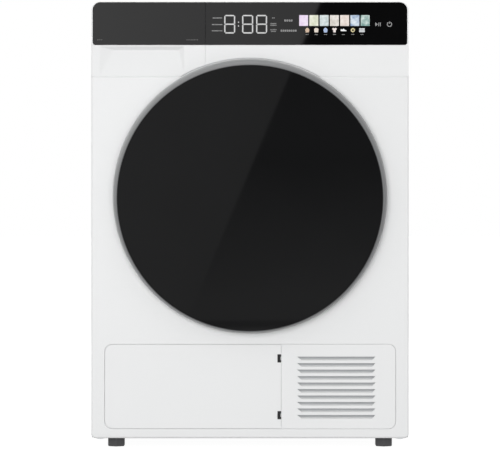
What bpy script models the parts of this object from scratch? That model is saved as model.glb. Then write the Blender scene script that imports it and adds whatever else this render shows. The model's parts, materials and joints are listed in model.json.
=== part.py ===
# Clothes dryer with a heat pump, a round front-loading door and a condensate drawer.
# The front faces -Y, +Z is up, and the feet stand on z = 0.
import math

import bmesh
import bpy
from mathutils import Matrix, Vector

# Driving dimensions of the cabinet, in metres
HALF_WIDTH = 0.298
BODY_BOTTOM = 0.018
TOP = 0.838
FRONT = -0.280
BACK = 0.298
SHEET = 0.0015
FRONT_DEPTH = 0.018
SEAM = 0.0005
TOP_CORNER = 0.016
BOTTOM_CORNER = 0.008
FASCIA_BOTTOM = 0.698
GLASS_BOTTOM = 0.758
GLASS_TOP = 0.8367
GLASS_HALF = 0.2952
GLASS_DEPTH = 0.0035
DRAWER_SEAM = -0.084

# Drum and door share one axis along Y
AXIS_Z = 0.470
DOOR_RADIUS = 0.2595
DOOR_CLEARANCE = 0.2625
GLASS_RADIUS = 0.2484
DOOR_FRONT = -0.320
DOOR_BACK = -0.288
PORTHOLE = 0.205
DRUM_RADIUS = 0.280
DRUM_FRONT = -0.200
DRUM_BACK = 0.228
HINGE = Vector((0.241, -0.3075, AXIS_Z))
HINGE_LOW = 0.442
HINGE_HIGH = 0.498

# Belt drive
BELT_Y = 0.045
BELT_WIDTH = 0.008
BELT_THICK = 0.0016
MOTOR = (0.160, 0.110)
PULLEY_RADIUS = 0.006
IDLER = (0.095, 0.120)
IDLER_RADIUS = 0.015
ROLLER = (0.1739, 0.2217)
ROLLER_RADIUS = 0.0225

# Condensate drawer
TANK_LEFT = -0.2845
TANK_RIGHT = -0.0935
TANK_FRONT = -0.2656
TANK_BACK = 0.180
TANK_BOTTOM = 0.744
TANK_TOP = 0.812

# Service panel in the plinth
SERVICE_LEFT = -0.2738
SERVICE_RIGHT = 0.2738
SERVICE_LOW = 0.0352
SERVICE_HIGH = 0.1953
SERVICE_CORNER = 0.014
SERVICE_SPLIT = 0.0592
FLAP_GAP = 0.0013
FLAP_THICK = 0.0024
FLAP_AXIS = 0.0012
FLAP_CORNER = 0.016

FOOT_X = 0.253
FOOT_FRONT = -0.235
FOOT_BACK = 0.250
FOOT_HEIGHT = 0.017
FOOT_RADIUS = 0.0178

WALL = 0.0025
ROUND = 48
SMALL = 20
DOOR_STEPS = 64


def clear_scene():
    for thing in list(bpy.data.objects):
        bpy.data.objects.remove(thing)


def material(name, colour, roughness, metallic=0.0):
    finish = bpy.data.materials.new(name)
    finish.use_nodes = True
    shader = finish.node_tree.nodes["Principled BSDF"]
    shader.inputs["Base Color"].default_value = (*colour, 1.0)
    shader.inputs["Roughness"].default_value = roughness
    shader.inputs["Metallic"].default_value = metallic
    return finish


def finished(name, mesh_data, finish=None):
    bmesh.ops.recalc_face_normals(mesh_data, faces=mesh_data.faces)
    mesh = bpy.data.meshes.new(name)
    mesh_data.to_mesh(mesh)
    mesh_data.free()
    mesh.shade_smooth()
    mesh.set_sharp_from_angle(angle=math.radians(30))
    thing = bpy.data.objects.new(name, mesh)
    bpy.context.scene.collection.objects.link(thing)
    if finish:
        mesh.materials.append(finish)
    return thing


def prism(name, outline, axis, start, end, finish=None):
    """Extrude an outline along X, Y or Z. The outline's two numbers are the other two axes."""
    shape = bmesh.new()
    corners = []
    for first, second in outline:
        spot = {"X": (start, first, second), "Y": (first, start, second), "Z": (first, second, start)}
        corners.append(shape.verts.new(spot[axis]))
    face = shape.faces.new(corners)
    grown = bmesh.ops.extrude_face_region(shape, geom=[face])
    moved = [item for item in grown["geom"] if isinstance(item, bmesh.types.BMVert)]
    step = {"X": (end - start, 0, 0), "Y": (0, end - start, 0), "Z": (0, 0, end - start)}
    bmesh.ops.translate(shape, verts=moved, vec=step[axis])
    return finished(name, shape, finish)


def block(name, low, high, finish=None):
    outline = [(low[0], low[2]), (high[0], low[2]), (high[0], high[2]), (low[0], high[2])]
    return prism(name, outline, "Y", low[1], high[1], finish)


def turned(name, profile, axis, centre, steps=ROUND, finish=None):
    """Spin a closed profile of (radius, height) about an axis through the centre."""
    shape = bmesh.new()
    spots = [shape.verts.new((radius, 0, height)) for radius, height in profile]
    edges = [shape.edges.new((spots[i - 1], spots[i])) for i in range(len(spots))
             if profile[i - 1][0] or profile[i][0]]
    bmesh.ops.spin(shape, geom=spots + edges, cent=(0, 0, 0), axis=(0, 0, 1), dvec=(0, 0, 0),
                   angle=2 * math.pi, steps=steps, use_merge=True, use_duplicate=False)
    bmesh.ops.remove_doubles(shape, verts=shape.verts, dist=1e-6)
    turn = {"Z": Matrix(), "Y": Matrix.Rotation(math.radians(-90), 4, "X"),
            "X": Matrix.Rotation(math.radians(90), 4, "Y")}
    bmesh.ops.transform(shape, matrix=Matrix.Translation(centre) @ turn[axis], verts=shape.verts)
    return finished(name, shape, finish)


def rod(name, radius, axis, centre, start, end, steps=SMALL, finish=None):
    """A round bar between two places along its axis."""
    profile = [(0, start), (radius, start), (radius, end), (0, end)]
    return turned(name, profile, axis, centre, steps, finish)


def arc(centre, radius, start, end, steps):
    """Points on an arc between two angles in degrees."""
    points = []
    for step in range(steps + 1):
        angle = math.radians(start + (end - start) * step / steps)
        points.append((centre[0] + radius * math.cos(angle), centre[1] + radius * math.sin(angle)))
    return points


def rounded(left, right, low, high, radii, steps=6):
    """A rectangle with its own radius at low left, low right, high right and high left."""
    points = []
    places = [(left, low, 1, 1, 180), (right, low, -1, 1, 270),
              (right, high, -1, -1, 0), (left, high, 1, -1, 90)]
    for radius, (x, z, inward_x, inward_z, angle) in zip(radii, places):
        if radius:
            middle = (x + inward_x * radius, z + inward_z * radius)
            points += arc(middle, radius, angle, angle + 90, steps)
        else:
            points.append((x, z))
    return points


def hide(cutter):
    cutter.hide_render = True
    cutter.display_type = "WIRE"


def combine(target, other, operation):
    change = target.modifiers.new(operation.title(), "BOOLEAN")
    change.operation = operation
    change.solver = "EXACT"
    change.object = other
    hide(other)


def cut(target, *cutters):
    for cutter in cutters:
        combine(target, cutter, "DIFFERENCE")


def add(target, *others):
    for other in others:
        combine(target, other, "UNION")


def pivot(name, place, *pieces):
    """Put pieces on a parent empty that stands on their joint's axis."""
    centre = bpy.data.objects.new(name, None)
    centre.location = place
    bpy.context.scene.collection.objects.link(centre)
    for piece in pieces:
        piece.data.transform(Matrix.Translation(-Vector(place)))
        piece.parent = centre
    return centre


def tube(name, points, radius, finish, sides=2):
    """A smooth closed tube along a list of points."""
    path = bpy.data.curves.new(name, "CURVE")
    path.dimensions = "3D"
    path.bevel_depth = radius
    path.bevel_resolution = sides
    path.use_fill_caps = True
    path.render_resolution_u = 0
    line = path.splines.new("POLY")
    line.points.add(len(points) - 1)
    for spot, place in zip(line.points, points):
        spot.co = (*place, 1.0)
    path.materials.append(finish)
    thing = bpy.data.objects.new(name, path)
    bpy.context.scene.collection.objects.link(thing)
    return thing


def eased(points, steps=5):
    """A smooth curve through hand-placed points."""
    ends = [points[0]] + points + [points[-1]]
    smooth = []
    for i in range(1, len(ends) - 2):
        before, here, after, beyond = (Vector(ends[i + k]) for k in (-1, 0, 1, 2))
        for step in range(steps):
            t = step / steps
            bend = 2 * here + (after - before) * t
            bend += (2 * before - 5 * here + 4 * after - beyond) * t ** 2
            bend += (3 * here - before - 3 * after + beyond) * t ** 3
            smooth.append(bend / 2)
    smooth.append(Vector(points[-1]))
    return smooth


def front_arc(radius, low, steps=16):
    """The round top of the door, as an arc from the right to the left where it meets a height."""
    angle = math.degrees(math.asin((low - AXIS_Z) / radius))
    return arc((0, AXIS_Z), radius, angle, 180 - angle, steps)


def disc_cutter(name, radius, start, end, steps=DOOR_STEPS, x=0.0, z=AXIS_Z):
    return rod(name, radius, "Y", (x, 0, z), start, end, steps)


def make_cabinet(white, steel, grey):
    front_edge = FRONT + FRONT_DEPTH + SEAM
    for side, name in ((-1, "side_panel_left"), (1, "side_panel_right")):
        inner = side * (HALF_WIDTH - SHEET)
        low = (min(inner, side * HALF_WIDTH), front_edge, BODY_BOTTOM)
        high = (max(inner, side * HALF_WIDTH), BACK, TOP - 0.0185)
        block(name, low, high, white)

    block("rear_panel", (-0.296, BACK - SHEET, 0.019), (0.296, BACK, TOP - 0.019), steel)
    cover = rounded(-0.235, 0.235, 0.060, 0.735, (0.06,) * 4)
    duct = prism("rear_duct_cover", cover, "Y", 0.2985, 0.320, steel)
    soft = duct.modifiers.new("Edge", "BEVEL")
    soft.width = 0.008
    soft.segments = 2
    soft.angle_limit = math.radians(60)
    cut(duct, prism("duct_hollow", rounded(-0.229, 0.229, 0.066, 0.729, (0.054,) * 4), "Y", 0.290, 0.316))

    corners = (0, 0, TOP_CORNER, TOP_CORNER)
    lid = rounded(-HALF_WIDTH, HALF_WIDTH, TOP - 0.018, TOP, corners)
    prism("worktop", lid, "Y", front_edge, BACK, white)

    inlet = rod("mains_inlet", 0.014, "Y", (0.255, 0, 0.760), 0.2985, 0.314, SMALL, grey)
    add(inlet, block("inlet_flange", (0.233, 0.2985, 0.738), (0.277, 0.302, 0.782)))
    cut(inlet, disc_cutter("inlet_bore", 0.005, 0.303, 0.33, SMALL, 0.255, 0.760))


def make_front_panel(white):
    corners = (BOTTOM_CORNER, BOTTOM_CORNER, 0, 0)
    outline = rounded(-HALF_WIDTH, HALF_WIDTH, BODY_BOTTOM, FASCIA_BOTTOM, corners)
    edge = FASCIA_BOTTOM - SEAM
    outline = [(x, min(z, edge)) for x, z in outline]
    bump = front_arc(DOOR_CLEARANCE - SEAM, edge)
    outline = outline[:-1] + bump + outline[-1:]
    back = FRONT + FRONT_DEPTH
    panel = prism("front_panel", outline, "Y", FRONT, back, white)
    inside = rounded(SHEET - HALF_WIDTH, HALF_WIDTH - SHEET, BODY_BOTTOM + SHEET, TOP, (0.0065, 0.0065, 0, 0))
    cut(panel, prism("panel_hollow", inside, "Y", FRONT + SHEET, back + 0.01),
        disc_cutter("porthole", PORTHOLE, FRONT - 0.01, FRONT + 0.01))
    opening = rounded(SERVICE_LEFT, SERVICE_RIGHT, SERVICE_LOW, SERVICE_HIGH, (SERVICE_CORNER,) * 4)
    cut(panel, prism("service_opening", opening, "Y", FRONT - 0.01, FRONT + 0.01),
        block("lock_slot", (-0.2335, FRONT - 0.01, 0.4575), (-0.2185, FRONT + 0.01, 0.4825)))


def make_fascia(white, black, board, grey):
    left, right = DRAWER_SEAM + SEAM, HALF_WIDTH
    face = rounded(left, right, FASCIA_BOTTOM, TOP, (0, 0, TOP_CORNER, 0))
    back = FRONT + FRONT_DEPTH
    shell = prism("control_fascia", face, "Y", FRONT, back, white)
    hollow = rounded(left + 0.003, right - 0.003, FASCIA_BOTTOM - 0.02, TOP - 0.003, (0, 0, 0.013, 0))
    cut(shell, prism("fascia_hollow", hollow, "Y", FRONT + 0.006, back + 0.01))
    frame = rounded(-HALF_WIDTH, left + 0.002, FASCIA_BOTTOM, TOP, (0, 0, 0, TOP_CORNER))
    add(shell, prism("drawer_frame", frame, "Y", back - 0.0035, back))
    rebate = rounded(left + 0.0003, GLASS_HALF + 0.0003, GLASS_BOTTOM, GLASS_TOP + 0.0002,
                     (0, 0.005, 0.0145, 0))
    cut(shell, prism("glass_rebate", rebate, "Y", FRONT - 0.01, FRONT + GLASS_DEPTH),
        block("display_window", (-0.050, FRONT - 0.01, 0.772), (0.272, back - 0.008, 0.826)),
        block("tank_opening", (TANK_LEFT - 0.002, back - 0.01, TANK_BOTTOM - 0.002),
              (TANK_RIGHT + 0.002, back + 0.01, 0.8175)),
        disc_cutter("fascia_arc", DOOR_CLEARANCE, FRONT - 0.01, back + 0.01))
    pane = rounded(left + 0.0006, GLASS_HALF, GLASS_BOTTOM + 0.0003, GLASS_TOP, (0, 0.0047, 0.0142, 0))
    prism("control_glass", pane, "Y", FRONT, FRONT + GLASS_DEPTH - 0.0005, black)
    block("display_board", (-0.049, FRONT + 0.0039, 0.773), (0.271, FRONT + 0.0056, 0.825), board)
    module = block("control_module", (0.005, -0.2565, 0.722), (0.250, -0.212, 0.812), grey)
    cut(module, block("module_step", (0.150, -0.230, 0.700), (0.260, -0.200, 0.760)))


def make_bulkheads(grey, steel, felt, dark):
    collar = [(PORTHOLE, -0.277), (0.2140, -0.277), (0.2140, -0.190), (PORTHOLE, -0.190)]
    head = turned("front_bulkhead", collar, "Y", (0, 0, AXIS_Z), DOOR_STEPS, grey)
    duct = block("lint_duct", (-0.117, -0.2425, 0.130), (0.117, -0.2115, 0.300))
    plate = prism("bulkhead_plate", rounded(-0.294, 0.294, 0.190, 0.700, (0.03,) * 4, 4), "Y", -0.260, -0.256)
    for piece in (duct, plate):
        cut(piece, disc_cutter("tunnel", 0.2095, -0.30, -0.17))
    add(head, duct)
    cut(head, block("filter_slot", (-0.1125, -0.2385, 0.134), (0.1125, -0.2155, 0.330)),
        block("duct_outlet", (-0.090, -0.2180, 0.140), (0.090, -0.200, 0.200)))
    add(head, plate)
    for side in (-1, 1):
        add(head, rod("roller_pin", 0.004, "Y", (side * ROLLER[0], 0, ROLLER[1]), -0.257, -0.176, 12))

    sheet = rounded(-0.295, 0.295, 0.046, 0.800, (0.02,) * 4)
    rear = prism("rear_bulkhead", sheet, "Y", 0.2360, 0.2380, steel)
    hub = [(0.0245, 0.2370), (0.0310, 0.2370), (0.0310, 0.2600), (0.0245, 0.2600)]
    add(rear, turned("bearing_cup", hub, "Y", (0, 0, AXIS_Z), 32))
    cut(rear, disc_cutter("shaft_hole", 0.0245, 0.22, 0.2390, 32))
    for start in (8, 98, 188, 278):
        window = arc((0, AXIS_Z), 0.205, start, start + 74, 6) + arc((0, AXIS_Z), 0.090, start + 74, start, 4)
        cut(rear, prism("air_window", window, "Y", 0.22, 0.25))
    cut(rear, disc_cutter("fan_window", 0.035, 0.22, 0.25, 32, *MOTOR))
    bearing = [(0.0124, 0.2400), (0.0241, 0.2400), (0.0241, 0.2540), (0.0124, 0.2540)]
    turned("drum_bearing", bearing, "Y", (0, 0, AXIS_Z), 32, dark)
    ring = [(0.2144, -0.2010), (0.2214, -0.2010), (0.2214, -0.1905), (0.2144, -0.1905)]
    turned("drum_felt", ring, "Y", (0, 0, AXIS_Z), DOOR_STEPS, felt)


def make_door(grey, black, rubber, steel):
    frame = [(0.196, DOOR_BACK), (DOOR_RADIUS - 0.002, DOOR_BACK), (DOOR_RADIUS, DOOR_BACK - 0.002),
             (0.2502, -0.3180), (0.2488, -0.3180), (0.2488, -0.3158), (0.196, -0.3158)]
    ring = turned("door_frame", frame, "Y", (0, 0, AXIS_Z), DOOR_STEPS, grey)
    pocket = [(-0.040, -0.0065), (0.006, -0.0065), (0.007, 0.002), (0.012, 0.0215), (-0.040, 0.0215)]
    outline = [(HINGE.x + x, HINGE.y + y) for x, y in pocket]
    cut(ring, prism("hinge_pocket", outline, "Z", 0.439, 0.501),
        rod("pin_hole", 0.0031, "Z", (HINGE.x, HINGE.y, 0), 0.428, 0.512, 16))
    pane = [(0, DOOR_FRONT), (GLASS_RADIUS - 0.001, DOOR_FRONT), (GLASS_RADIUS, DOOR_FRONT + 0.001),
            (GLASS_RADIUS, -0.3162), (0, -0.3162)]
    glass = turned("door_glass", pane, "Y", (0, 0, AXIS_Z), DOOR_STEPS, black)
    bowl = [(0, -0.245), (0.176, -0.245), (0.188, -0.255), (0.188, -0.3120), (0.1955, -0.3120),
            (0.1955, -0.3155), (0.185, -0.3155), (0.185, -0.2560), (0.1745, -0.2480), (0, -0.2480)]
    plug = turned("door_bowl", bowl, "Y", (0, 0, AXIS_Z), ROUND, grey)
    lip = [(0.1885, -0.2876), (0.2005, -0.2876), (0.2005, -0.2810), (0.1960, -0.2765), (0.1925, -0.2765),
           (0.1925, -0.2800), (0.1885, -0.2800)]
    seal = turned("door_seal", lip, "Y", (0, 0, AXIS_Z), ROUND, rubber)
    hook = block("door_hook", (-0.2275, DOOR_BACK + 0.0003, 0.4630), (-0.2225, -0.2650, 0.4770), steel)
    add(hook, block("hook_base", (-0.2400, DOOR_BACK + 0.0003, 0.4600), (-0.2150, -0.2855, 0.4800)))
    cut(hook, block("hook_notch", (-0.2300, -0.2720, 0.4600), (-0.2200, -0.2690, 0.4700)))
    pin = rod("hinge_pin", 0.0028, "Z", (HINGE.x, HINGE.y, 0), 0.4285, 0.5115, 16, steel)
    pivot("door_axis", HINGE, ring, glass, plug, seal, hook, pin)

    bracket = rod("hinge_bracket", 0.005, "Z", (HINGE.x, HINGE.y, 0), HINGE_LOW, HINGE_HIGH, 20, steel)
    add(bracket, block("hinge_arm", (0.208, -0.3120, HINGE_LOW), (0.241, -0.3080, HINGE_HIGH)),
        block("hinge_leg", (0.208, -0.3100, HINGE_LOW), (0.212, FRONT - 0.0010, HINGE_HIGH)),
        block("hinge_plate", (0.208, FRONT - 0.0035, HINGE_LOW), (0.230, FRONT - 0.0003, HINGE_HIGH)))
    cut(bracket, rod("knuckle_bore", 0.0031, "Z", (HINGE.x, HINGE.y, 0), 0.42, 0.52, 16))
    lock = block("door_lock", (-0.2450, -0.2780, 0.440), (-0.2165, -0.2610, 0.500), grey)
    cut(lock, block("lock_mouth", (-0.2335, -0.2800, 0.4575), (-0.2190, -0.2630, 0.4825)))


def hole_pattern(name, rings, radius, start, end):
    """One cutter for all the holes on rings round the drum's axis."""
    shape = bmesh.new()
    for reach, count in rings:
        for step in range(count):
            angle = 2 * math.pi * (step + 0.13) / count
            place = (reach * math.cos(angle), (start + end) / 2, AXIS_Z + reach * math.sin(angle))
            turn = Matrix.Translation(place) @ Matrix.Rotation(math.radians(90), 4, "X")
            bmesh.ops.create_cone(shape, cap_ends=True, segments=6, radius1=radius, radius2=radius,
                                  depth=end - start, matrix=turn)
    return finished(name, shape)


def make_drum(steel, grey, dark):
    outer = [(0.222, DRUM_FRONT), (0.272, DRUM_FRONT), (DRUM_RADIUS, -0.190), (DRUM_RADIUS, 0.222),
             (0.274, DRUM_BACK), (0, DRUM_BACK)]
    inner = [(0, 0.2265), (0.2735, 0.2265), (0.2785, 0.2215), (0.2785, -0.1895), (0.2714, -0.1985),
             (0.222, -0.1985)]
    drum = turned("drum", outer + inner, "Y", (0, 0, AXIS_Z), ROUND, steel)
    cut(drum, hole_pattern("air_holes", ((0.100, 10), (0.150, 16)), 0.009, 0.220, 0.235))
    shaft = [(0, 0.2284), (0.050, 0.2284), (0.050, 0.2320), (0.012, 0.2330), (0.012, 0.2900), (0, 0.2900)]
    stub = turned("drum_shaft", shaft, "Y", (0, 0, AXIS_Z), 32, steel)
    lifters = []
    for number in range(3):
        crest = [(0.246, 0.016), (0.232, 0.008), (0.232, -0.008), (0.246, -0.016)]
        profile = arc((0, 0), 0.2778, -9, 9, 4) + crest
        lifter = prism(f"drum_lifter_{number + 1}", profile, "Y", -0.178, 0.205, grey)
        turn = Matrix.Rotation(math.radians(90 + 120 * number), 4, "Y")
        lifter.data.transform(Matrix.Translation((0, 0, AXIS_Z)) @ turn)
        lifters.append(lifter)
    pivot("drum_axis", (0, 0, AXIS_Z), drum, stub, *lifters)
    for side, name in ((-1, "support_roller_left"), (1, "support_roller_right")):
        wheel = [(0.0044, -0.195), (0.0220, -0.195), (ROLLER_RADIUS, -0.194), (ROLLER_RADIUS, -0.181),
                 (0.0220, -0.180), (0.0044, -0.180)]
        place = (side * ROLLER[0], 0, ROLLER[1])
        pivot(name + "_axis", place, turned(name, wheel, "Y", place, 32, dark))


def belt_loop(wheels, offset):
    """Points of a belt round wheels of (x, z, signed radius); a negative wheel bends it back."""
    count = len(wheels)
    lines = []
    for i in range(count):
        x, z, radius = wheels[i]
        next_x, next_z, next_radius = wheels[(i + 1) % count]
        apart = math.hypot(next_x - x, next_z - z)
        along = math.atan2(next_z - z, next_x - x)
        lines.append(along - math.asin((next_radius - radius) / apart))
    points = []
    for i in range(count):
        x, z, radius = wheels[i]
        start, end = lines[i - 1], lines[i]
        turn = (end - start) % (2 * math.pi)
        if radius < 0:
            turn -= 2 * math.pi
        steps = max(8, round(abs(radius * turn) / 0.040))
        for step in range(steps + 1):
            angle = start + turn * step / steps - math.pi / 2
            reach = radius + offset
            points.append((x + reach * math.cos(angle), z + reach * math.sin(angle)))
    return points


def make_belt(dark):
    clear = 0.0004
    wheels = [(0, AXIS_Z, DRUM_RADIUS + 3 * clear),
              (IDLER[0], IDLER[1], -(IDLER_RADIUS + clear + BELT_THICK)),
              (MOTOR[0], MOTOR[1], PULLEY_RADIUS + clear)]
    inner = belt_loop(wheels, 0)
    outer = belt_loop(wheels, BELT_THICK)
    shape = bmesh.new()
    sides = []
    for y in (BELT_Y - BELT_WIDTH / 2, BELT_Y + BELT_WIDTH / 2):
        sides.append([[shape.verts.new((x, y, z)) for x, z in loop] for loop in (inner, outer)])
    (front_inner, front_outer), (back_inner, back_outer) = sides
    strips = [(front_inner, front_outer), (front_outer, back_outer),
              (back_outer, back_inner), (back_inner, front_inner)]
    for first, second in strips:
        for i in range(len(inner)):
            shape.faces.new((first[i - 1], first[i], second[i], second[i - 1]))
    finished("drive_belt", shape, dark)


def make_drive(steel, grey, dark):
    x, z = MOTOR
    shaft = [(0, 0.0300), (0.005, 0.0300), (0.005, 0.0370), (0.0105, 0.0370), (0.0105, 0.0390),
             (PULLEY_RADIUS, 0.0400), (PULLEY_RADIUS, 0.0500), (0.0105, 0.0510), (0.0105, 0.0530),
             (0.005, 0.0530), (0.005, 0.2120), (0, 0.2120)]
    rotor = turned("motor_shaft", shaft, "Y", (x, 0, z), SMALL, steel)
    vanes = []
    for step in range(14):
        angle = 2 * math.pi * step / 14
        for turn, reach in ((-0.04, 0.056), (0.04, 0.056), (0.14, 0.022), (0.31, 0.022)):
            vanes.append((x + reach * math.cos(angle + turn), z + reach * math.sin(angle + turn)))
    fan = prism("fan_impeller", vanes, "Y", 0.168, 0.208, grey)
    cut(fan, disc_cutter("fan_bore", 0.0054, 0.15, 0.22, SMALL, x, z))
    pivot("motor_axis", (x, 0, z), rotor, fan)

    can = [(0.0062, 0.060), (0.042, 0.060), (0.048, 0.066), (0.048, 0.142), (0.042, 0.148), (0.0062, 0.148)]
    stator = turned("motor_stator", can, "Y", (x, 0, z), 32, steel)
    foot = block("motor_foot", (x - 0.034, 0.075, 0.0245), (x + 0.034, 0.133, 0.085))
    cut(foot, disc_cutter("foot_clearance", 0.040, 0.05, 0.16, 32, x, z))
    add(stator, foot)
    shell = [(0.0085, 0.158), (0.065, 0.158), (0.065, 0.222), (0.035, 0.222), (0.035, 0.2185),
             (0.0615, 0.2185), (0.0615, 0.1615), (0.0085, 0.1615)]
    turned("fan_housing", shell, "Y", (x, 0, z), 32, grey)

    wheel = [(0.0034, 0.0372), (IDLER_RADIUS, 0.0372), (IDLER_RADIUS, 0.0528), (0.0034, 0.0528)]
    place = (IDLER[0], 0, IDLER[1])
    pivot("idler_axis", place, turned("idler_pulley", wheel, "Y", place, SMALL, dark))
    foot = rounded(0.052, 0.104, 0.0245, 0.060, (0.004,) * 4, 3)
    arm = prism("idler_arm", foot, "Y", 0.0500, 0.0780, steel)
    cut(arm, block("arm_step", (0.04, 0.0535, 0.0300), (0.12, 0.09, 0.08)),
        block("arm_front", (0.04, 0.04, 0.0300), (0.12, 0.0500, 0.08)))
    bar = [(0.086, 0.050), (0.104, 0.050), (0.102, 0.127), (0.088, 0.127)]
    link = prism("arm_link", bar, "Y", 0.0545, 0.0580)
    add(arm, link, block("arm_base", (0.080, 0.0500, 0.0290), (0.104, 0.0580, 0.0550)),
        rod("arm_axle", 0.003, "Y", place, 0.0370, 0.0560, 16))
    turns, steps = 5, 8
    coil = []
    for step in range(turns * steps + 1):
        angle = 2 * math.pi * step / steps
        length = 0.036 * step / (turns * steps)
        coil.append((0.0690 + 0.0045 * math.cos(angle), 0.066 + 0.0045 * math.sin(angle), 0.033 + length))
    tube("tension_spring", coil, 0.0008, steel, 1)


def finned_block(name, low, high, fins, finish):
    """A heat exchanger: upright fins on a thick base, open to air that flows along Y."""
    base = low[2] + 0.006
    pitch = (high[0] - low[0]) / (fins - 0.5)
    outline = [(high[0], low[2]), (low[0], low[2])]
    for fin in range(fins):
        left = low[0] + fin * pitch
        outline += [(left, high[2]), (left + pitch / 2, high[2])]
        if fin < fins - 1:
            outline += [(left + pitch / 2, base), (left + pitch, base)]
    prism(name, outline, "Y", low[1], high[1], finish)


def make_heat_pump(aluminium, dark, copper, grey):
    finned_block("evaporator", (-0.255, -0.2060, 0.0470), (0.035, -0.106, 0.165), 18, aluminium)
    finned_block("condenser", (-0.255, -0.095, 0.0470), (0.035, 0.032, 0.165), 18, aluminium)
    cover = block("exchanger_cover", (-0.262, -0.2090, 0.0460), (0.042, 0.0370, 0.1760), grey)
    cut(cover, block("cover_hollow", (-0.259, -0.240, 0.0400), (0.039, 0.0500, 0.1730)))
    can = [(0, 0.0245), (0.045, 0.0245), (0.045, 0.0400), (0.057, 0.0500), (0.060, 0.0600), (0.060, 0.1850),
           (0.054, 0.1980), (0.030, 0.2060), (0, 0.2060)]
    turned("compressor", can, "Z", (0.190, -0.100, 0), 28, dark)
    route = [(0.1275, -0.100, 0.150), (0.100, -0.100, 0.150), (0.082, -0.085, 0.150), (0.078, -0.060, 0.150),
             (0.066, -0.046, 0.150), (0.044, -0.045, 0.150)]
    tube("refrigerant_pipe", eased(route, 4), 0.004, copper, 2)
    pump = rod("condensate_pump", 0.020, "Z", (0.095, -0.205, 0), 0.0245, 0.085, SMALL, grey)
    add(pump, block("pump_foot", (0.068, -0.232, 0.0245), (0.122, -0.178, 0.035)))


def make_base(grey):
    pan = block("base_pan", (-0.295, -0.2600, 0.0200), (0.295, 0.2880, 0.0450), grey)
    cut(pan, block("pan_hollow", (-0.291, -0.2560, 0.0240), (0.291, 0.2840, 0.0600)))
    for x in (-FOOT_X, FOOT_X):
        for y in (FOOT_FRONT, FOOT_BACK):
            add(pan, rod("foot_boss", 0.0120, "Z", (x, y, 0), 0.0220, 0.0450, SMALL))
            cut(pan, rod("foot_thread", 0.0056, "Z", (x, y, 0), 0.010, 0.060, 16))
    for side in (-1, 1):
        skid = prism("corner_skid", arc((side * 0.2815, 0.0240), 0.0105, 180, 360, 8), "Y", -0.2600, -0.2100)
        middle = side * 0.2815
        cut(skid, block("skid_flat", (middle - 0.02, -0.27, 0.0), (middle + 0.02, -0.20, 0.0160)))
        add(pan, skid)


def make_feet(dark):
    places = {"foot_front_left": (-FOOT_X, FOOT_FRONT), "foot_front_right": (FOOT_X, FOOT_FRONT),
              "foot_rear_left": (-FOOT_X, FOOT_BACK), "foot_rear_right": (FOOT_X, FOOT_BACK)}
    for name, (x, y) in places.items():
        profile = [(0, 0), (FOOT_RADIUS - 0.0015, 0), (FOOT_RADIUS, 0.0015), (FOOT_RADIUS, 0.0150),
                   (FOOT_RADIUS - 0.0020, FOOT_HEIGHT), (0, FOOT_HEIGHT)]
        foot = turned(name, profile, "Z", (0, 0, 0), 6, dark)
        foot.data.transform(Matrix.Translation((x, y, 0)) @ Matrix.Rotation(math.radians(30), 4, "Z"))
        add(foot, rod("foot_stem", 0.0050, "Z", (x, y, 0), 0.0100, 0.0420, 16))
        pivot(name + "_axis", (x, y, 0), foot)


def make_drawer(white, black, grey):
    right = DRAWER_SEAM
    back = FRONT + 0.014
    face = rounded(-HALF_WIDTH, right, FASCIA_BOTTOM, TOP, (0, 0, 0, TOP_CORNER))
    front = prism("drawer_front", face, "Y", FRONT, back, white)
    rebate = rounded(-GLASS_HALF - 0.0003, right + 0.01, GLASS_BOTTOM, GLASS_TOP + 0.0002,
                     (0.005, 0, 0, 0.0145))
    cut(front, prism("trim_rebate", rebate, "Y", FRONT - 0.01, FRONT + GLASS_DEPTH),
        disc_cutter("drawer_arc", DOOR_CLEARANCE, FRONT - 0.01, back + 0.01), grip_cutter())
    strip = rounded(-GLASS_HALF, right, GLASS_BOTTOM + 0.0003, GLASS_TOP, (0.0047, 0, 0, 0.0142))
    trim = prism("drawer_trim", strip, "Y", FRONT, FRONT + GLASS_DEPTH - 0.0005, black)
    low = (TANK_LEFT, TANK_FRONT, TANK_BOTTOM)
    tank = block("tank_body", low, (TANK_RIGHT, TANK_BACK, TANK_TOP), grey)
    cut(tank, block("tank_hollow", (TANK_LEFT + WALL, TANK_FRONT + WALL, TANK_BOTTOM + WALL),
                    (TANK_RIGHT - WALL, TANK_BACK - WALL, TANK_TOP + 0.01)))
    lid = block("tank_lid", (TANK_LEFT + 0.001, TANK_FRONT + 0.001, TANK_TOP + 0.0003),
                (TANK_RIGHT - 0.001, TANK_BACK - 0.001, TANK_TOP + 0.0033), grey)
    middle = (TANK_LEFT + TANK_RIGHT) / 2
    cut(lid, rod("fill_hole", 0.016, "Z", (middle, 0.140, 0), 0.80, 0.82))
    pivot("drawer_axis", (middle, FRONT, TANK_BOTTOM), front, trim, tank, lid)
    housing = block("tank_housing", (-0.2875, -0.2600, 0.7415), (-0.0905, 0.185, 0.8130), grey)
    cut(housing, block("housing_hollow", (-0.2855, -0.2700, 0.7435), (-0.0925, 0.183, 0.83)))


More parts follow.
